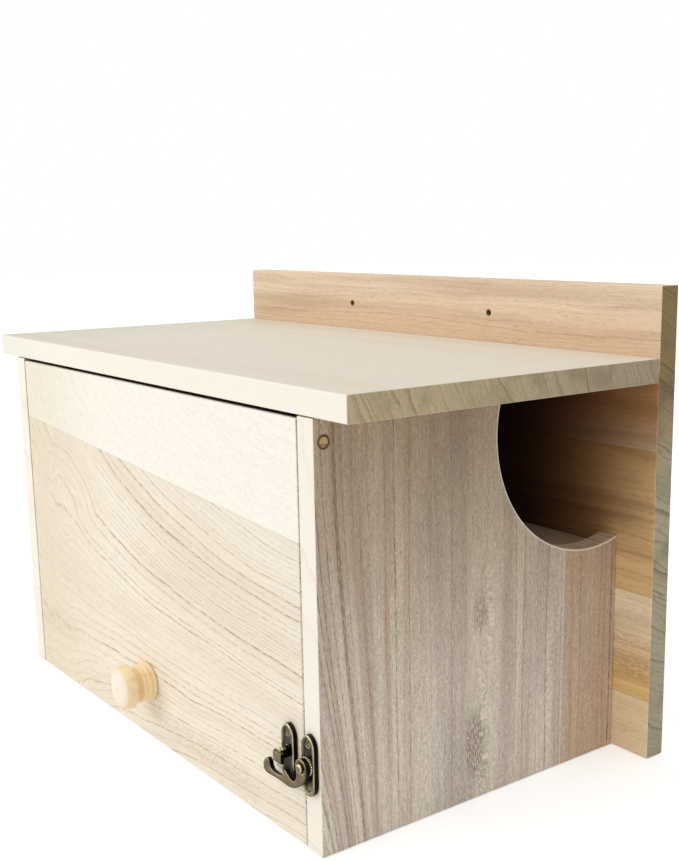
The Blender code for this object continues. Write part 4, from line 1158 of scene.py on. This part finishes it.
class NEST_OT_latch(Operator):
    """Antique brass latch: two rimmed plates, stud, beaded boss, arm, rivet and screws"""
    bl_idname = "nest_box.latch"
    bl_label = "Latch"

    def execute(self, context):
        self.sizes = settings().latch
        self.pivot = PIVOTS["latch_swing"]
        low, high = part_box("latch_frame_plate")
        self.back = high.y
        self.half_width = (high.x - low.x) / 2
        self.half_height = (high.z - low.z) / 2
        self.boss_front = low.y
        self.plate_front = self.boss_front + 0.9 * MM
        self.field = self.plate_front + self.sizes.recess
        self.stud_x = centre_of("latch_door_screw_upper").x
        self.head_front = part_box("latch_door_plate")[0].y
        arm_low, arm_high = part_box("latch_arm")
        self.arm_back = arm_high.y
        self.arm_front = arm_low.y
        self.make_door_plate()
        self.make_frame_plate()
        self.make_arm()
        self.make_rivet()
        self.make_screws()
        return {"FINISHED"}

    def at(self, y):
        """The point at a depth on the line round which the arm turns."""
        return Vector((self.pivot.x, y, self.pivot.z))

    def brass(self, name, high, low, rub=1.0, spot=None, soft=0.5, rim=0.6):
        """Antique brass that is bright at one depth and dark at another, in metres."""
        return antique_brass(settings().metal, name, high / MM, low / MM, rub, spot, soft, rim)

    def neck_top_highlight(self, metal):
        """Painted highlight on the top of the ball on the stud's neck."""
        before = self.plate_front / MM
        high = self.pivot.z / MM + 2.8
        ball = metal.times(metal.fade(metal.place_mm[Y], before - 1.6, before - 1.0, 1.0, 0.0),
                           metal.fade(metal.place_mm[Z], high, high + 0.9))
        return metal.times(ball, 0.75)

    def bead_wear_and_highlight(self, metal):
        """Rubbed beads round the boss, painted bright as a highlight too."""
        before = self.plate_front / MM
        ring = metal.ring_at(X, Z, self.pivot / MM, 4.2, 0.4)
        return metal.times(ring, metal.fade(metal.place_mm[Y], before - 0.3, before - 0.1, 1.0, 0.0))

    def plate(self, x):
        """Plate with pointed arches, a raised rim and a sunk field with two screw holes."""
        half = self.half_width
        arch = half * 2 * self.sizes.arch
        offset = arch - half
        shoulder = self.half_height - math.sqrt(arch ** 2 - offset ** 2)
        apex = math.degrees(math.acos(offset / arch))
        top = arc_points((-offset, shoulder), arch, 0, apex, 14)
        top += arc_points((offset, shoulder), arch, 180 - apex, 180, 14)[1:]
        outline = top + [(-u, -v) for u, v in top]
        crown = self.sizes.crown
        slope = 0.2 * MM
        piece = sawn(outline, (x, self.pivot.z), self.back, self.plate_front + crown)
        select_front(piece)
        round_off = arc_points((crown, 0), crown, 180, 90, 4)
        for (inward, forward), (next_inward, next_forward) in zip(round_off, round_off[1:]):
            bpy.ops.mesh.inset(thickness=next_inward - inward, depth=next_forward - forward)
        bpy.ops.mesh.inset(thickness=self.sizes.rim - crown - slope / 2, depth=0)
        bpy.ops.mesh.inset(thickness=slope, depth=-self.sizes.recess)
        bpy.ops.object.mode_set(mode="OBJECT")
        ease(piece, 0.08 * MM, 2, 40.0)
        sink = 2.0 * MM
        hole = 1.0 * MM
        profile = [(-2 * MM, sink), (0.33 * MM, sink), (1.33 * MM, hole), (5 * MM, hole)]
        for level in ("lower", "upper"):
            mouth = (x, self.field, centre_of("latch_frame_screw_" + level).z)
            drill(piece, profile, mouth, (0, 1, 0), 40)
        return piece

    def make_door_plate(self):
        """Plate on the door, with the stud's neck, its ball and its block head."""
        plate = self.plate(self.stud_x)
        face = self.arm_front - 0.3 * MM
        neck = 1.55 * MM
        outline = arc_points((0, 0), neck, 180, 360, 14) + arc_points((0, 2.6 * MM), neck, 0, 180, 14)
        stem = sawn(outline, (self.stud_x, self.pivot.z), self.field + MM, face - 0.7 * MM)
        rest = (self.stud_x, face + 1.0 * MM, self.pivot.z + 2.55 * MM)
        top = ball(rest, (1.75 * MM, 1.6 * MM, 1.75 * MM))
        centre = (self.stud_x, (face + self.head_front) / 2, self.pivot.z)
        head = block(centre, (6.9 * MM, face - self.head_front, 5.3 * MM))
        select_front(head)
        bpy.ops.transform.resize(value=(0.9, 1, 0.88), center_override=centre)
        bpy.ops.object.mode_set(mode="OBJECT")
        stud = merge([stem, top, head])
        cast(stud, 0.11 * MM, 7)
        whole = merge([plate, stud])
        brass = self.brass("plate_brass", self.plate_front, self.field, 0.8, self.neck_top_highlight)
        settle(whole, "rimmed_door_plate", brass, "door", "old_brass", "latch_door_plate")

    def make_frame_plate(self):
        """Plate on the side panel, with the boss and the beads round it."""
        plate = self.plate(self.pivot.x)
        sunk = 1.2 * MM
        reach = self.plate_front - self.boss_front
        base = self.at(self.plate_front + sunk)
        profile = [(0, 3.9 * MM), (sunk + reach * 0.55, 3.75 * MM), (sunk + reach * 0.9, 3.55 * MM),
                   (sunk + reach, 3.3 * MM)]
        boss = turned(profile, base, (0, -1, 0), 64)
        hole = 1.5 * MM
        for piece in (plate, boss):
            drill(piece, [(-4 * MM, hole), (8 * MM, hole)], base, (0, -1, 0), 40)
        bead = self.sizes.bead
        centre = self.at(self.boss_front + bead * 1.05)
        ring = arc_points((0, 0), 3.95 * MM, 0, 360, self.sizes.beads)[1:]
        places = [centre + Vector((u, 0, v)) for u, v in ring]
        whole = merge([plate, boss, *repeat(ball(places[0], (bead,) * 3, 2), places)])
        brass = self.brass("boss_brass", self.plate_front, self.field, 0.8, self.bead_wear_and_highlight)
        settle(whole, "beaded_frame_plate", brass, "box", "old_brass", "latch_frame_plate")

    def make_arm(self):
        """Swinging arm, cast with a round eye, a belly, a prong, a notch and a bulb at its tip."""
        reach = 31.0 * MM
        outer = [(0.133, -0.024), (0.128, -0.080), (0.106, -0.140), (0.063, -0.200), (-0.005, -0.262),
                 (-0.095, -0.325), (-0.195, -0.374), (-0.32, -0.397), (-0.45, -0.395), (-0.58, -0.388),
                 (-0.75, -0.392), (-0.88, -0.398), (-0.962, -0.370), (-0.996, -0.305), (-0.976, -0.232),
                 (-0.932, -0.180), (-0.878, -0.162), (-0.832, -0.190), (-0.812, -0.245), (-0.780, -0.296),
                 (-0.710, -0.318), (-0.580, -0.316), (-0.494, -0.296), (-0.452, -0.245), (-0.427, -0.176)]
        inner = [(-0.427, -0.176), (-0.385, -0.196), (-0.325, -0.243), (-0.255, -0.270), (-0.180, -0.263),
                 (-0.128, -0.212), (-0.112, -0.150), (-0.124, -0.061)]
        outer_run, inner_run = (smooth_run(scaled(run, reach, reach), 5) for run in (outer, inner))
        start = math.degrees(math.atan2(inner[-1][1], inner[-1][0])) % 360
        end = math.degrees(math.atan2(outer[0][1], outer[0][0]))
        eye = 4.2 * MM
        outline = outer_run[1:] + inner_run[1:-1] + arc_points((0, 0), eye, start, end, 44)
        arm = sawn(outline, (self.pivot.x, self.pivot.z), self.arm_back, self.arm_front)
        middle = (self.arm_back + self.arm_front) / 2
        tip = (self.pivot.x - 0.915 * reach, middle, self.pivot.z - 0.265 * reach)
        bulb = ball(tip, (2.15 * MM, 1.28 * MM, 2.75 * MM))
        start_piece()
        bpy.ops.mesh.primitive_torus_add(location=self.at(self.arm_front + 0.78 * MM),
                                         rotation=(math.radians(90), 0, 0), major_radius=3.3 * MM,
                                         minor_radius=0.86 * MM, major_segments=72, minor_segments=20)
        whole = merge([arm, bulb, placed()])
        cast(whole, 0.13 * MM, 9)
        hole = 1.5 * MM
        profile = [(-2 * MM, 2.65 * MM), (0.9 * MM, 2.55 * MM), (1.1 * MM, hole), (5 * MM, hole)]
        drill(whole, profile, self.at(self.arm_front), (0, 1, 0), 48)
        brass = self.brass("arm_brass", self.arm_front, self.arm_back, 0.75, soft=1.6, rim=0.8)
        settle(whole, "cast_arm", brass, "latch_arm", "old_brass", "latch_arm")

    def make_rivet(self):
        """Domed rivet on which the arm turns."""
        low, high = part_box("latch_rivet")
        radius = (high.x - low.x) / 2
        height = 1.2 * MM
        shank = 1.3 * MM
        dome = [(0.0, 0.06), (0.02, 0.3), (0.1, 0.52), (0.24, 0.74), (0.45, 0.9), (0.7, 0.985),
                (1.0, 1.0)]
        profile = scaled(dome, height, radius) + [(height, shank), (high.y - low.y, shank)]
        rivet = turned(profile, self.at(low.y), (0, 1, 0), 48)
        brass = self.brass("rivet_brass", low.y, low.y + 2 * MM)
        settle(rivet, "domed_rivet", brass, "box", "old_brass", "latch_rivet")

    def make_screws(self):
        """Cross head screws of both plates, modelled once and copied."""
        names = [f"latch_{plate}_screw_{level}"
                 for plate in ("door", "frame") for level in ("lower", "upper")]
        low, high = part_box(names[0])
        mouth_y = low.y + 0.3 * MM
        head = 1.85 * MM
        shank = 0.9 * MM
        crown = 0.28 * MM
        places = [centre_of(name, mouth_y) for name in names]
        first = wood_screw(places[0], (0, 1, 0), head, shank, high.y - mouth_y, crown)
        brass = self.brass("screw_brass", low.y, low.y + 0.5 * MM, 0.4, rim=0.5)
        for name, piece in zip(names, repeat(first, places)):
            body = "door" if "door" in name else "box"
            settle(piece, "brass_" + name, brass, body, "old_brass", name)


class NEST_PT_panel(Panel):
    """Lists the pieces of the nest box"""
    bl_idname = "NEST_PT_panel"
    bl_label = "Nest Box"
    bl_space_type = "VIEW_3D"
    bl_region_type = "UI"
    bl_category = "Nest Box"

    def draw(self, context):
        for operator in OPERATORS:
            self.layout.operator(operator.bl_idname)


OPERATORS = (NEST_OT_stage, NEST_OT_boards, NEST_OT_knob, NEST_OT_screws, NEST_OT_pins, NEST_OT_latch)
CLASSES = (WoodColours, MetalColours, LatchSizes, StudioSettings, NestBox, *OPERATORS, NEST_PT_panel)


def register():
    """Add the classes and the scene's settings."""
    for one in CLASSES:
        bpy.utils.register_class(one)
    bpy.types.Scene.nest_box = PointerProperty(type=NestBox)


def unregister():
    """Remove the settings and the classes."""
    del bpy.types.Scene.nest_box
    for one in reversed(CLASSES):
        bpy.utils.unregister_class(one)


def main():
    """Make and finish the whole nest box."""
    register()
    bpy.ops.object.select_all(action="DESELECT")
    bpy.ops.nest_box.stage()
    bpy.ops.nest_box.boards()
    bpy.ops.nest_box.knob()
    bpy.ops.nest_box.screws()
    bpy.ops.nest_box.pins()
    bpy.ops.nest_box.latch()


if __name__ == "__main__":
    main()
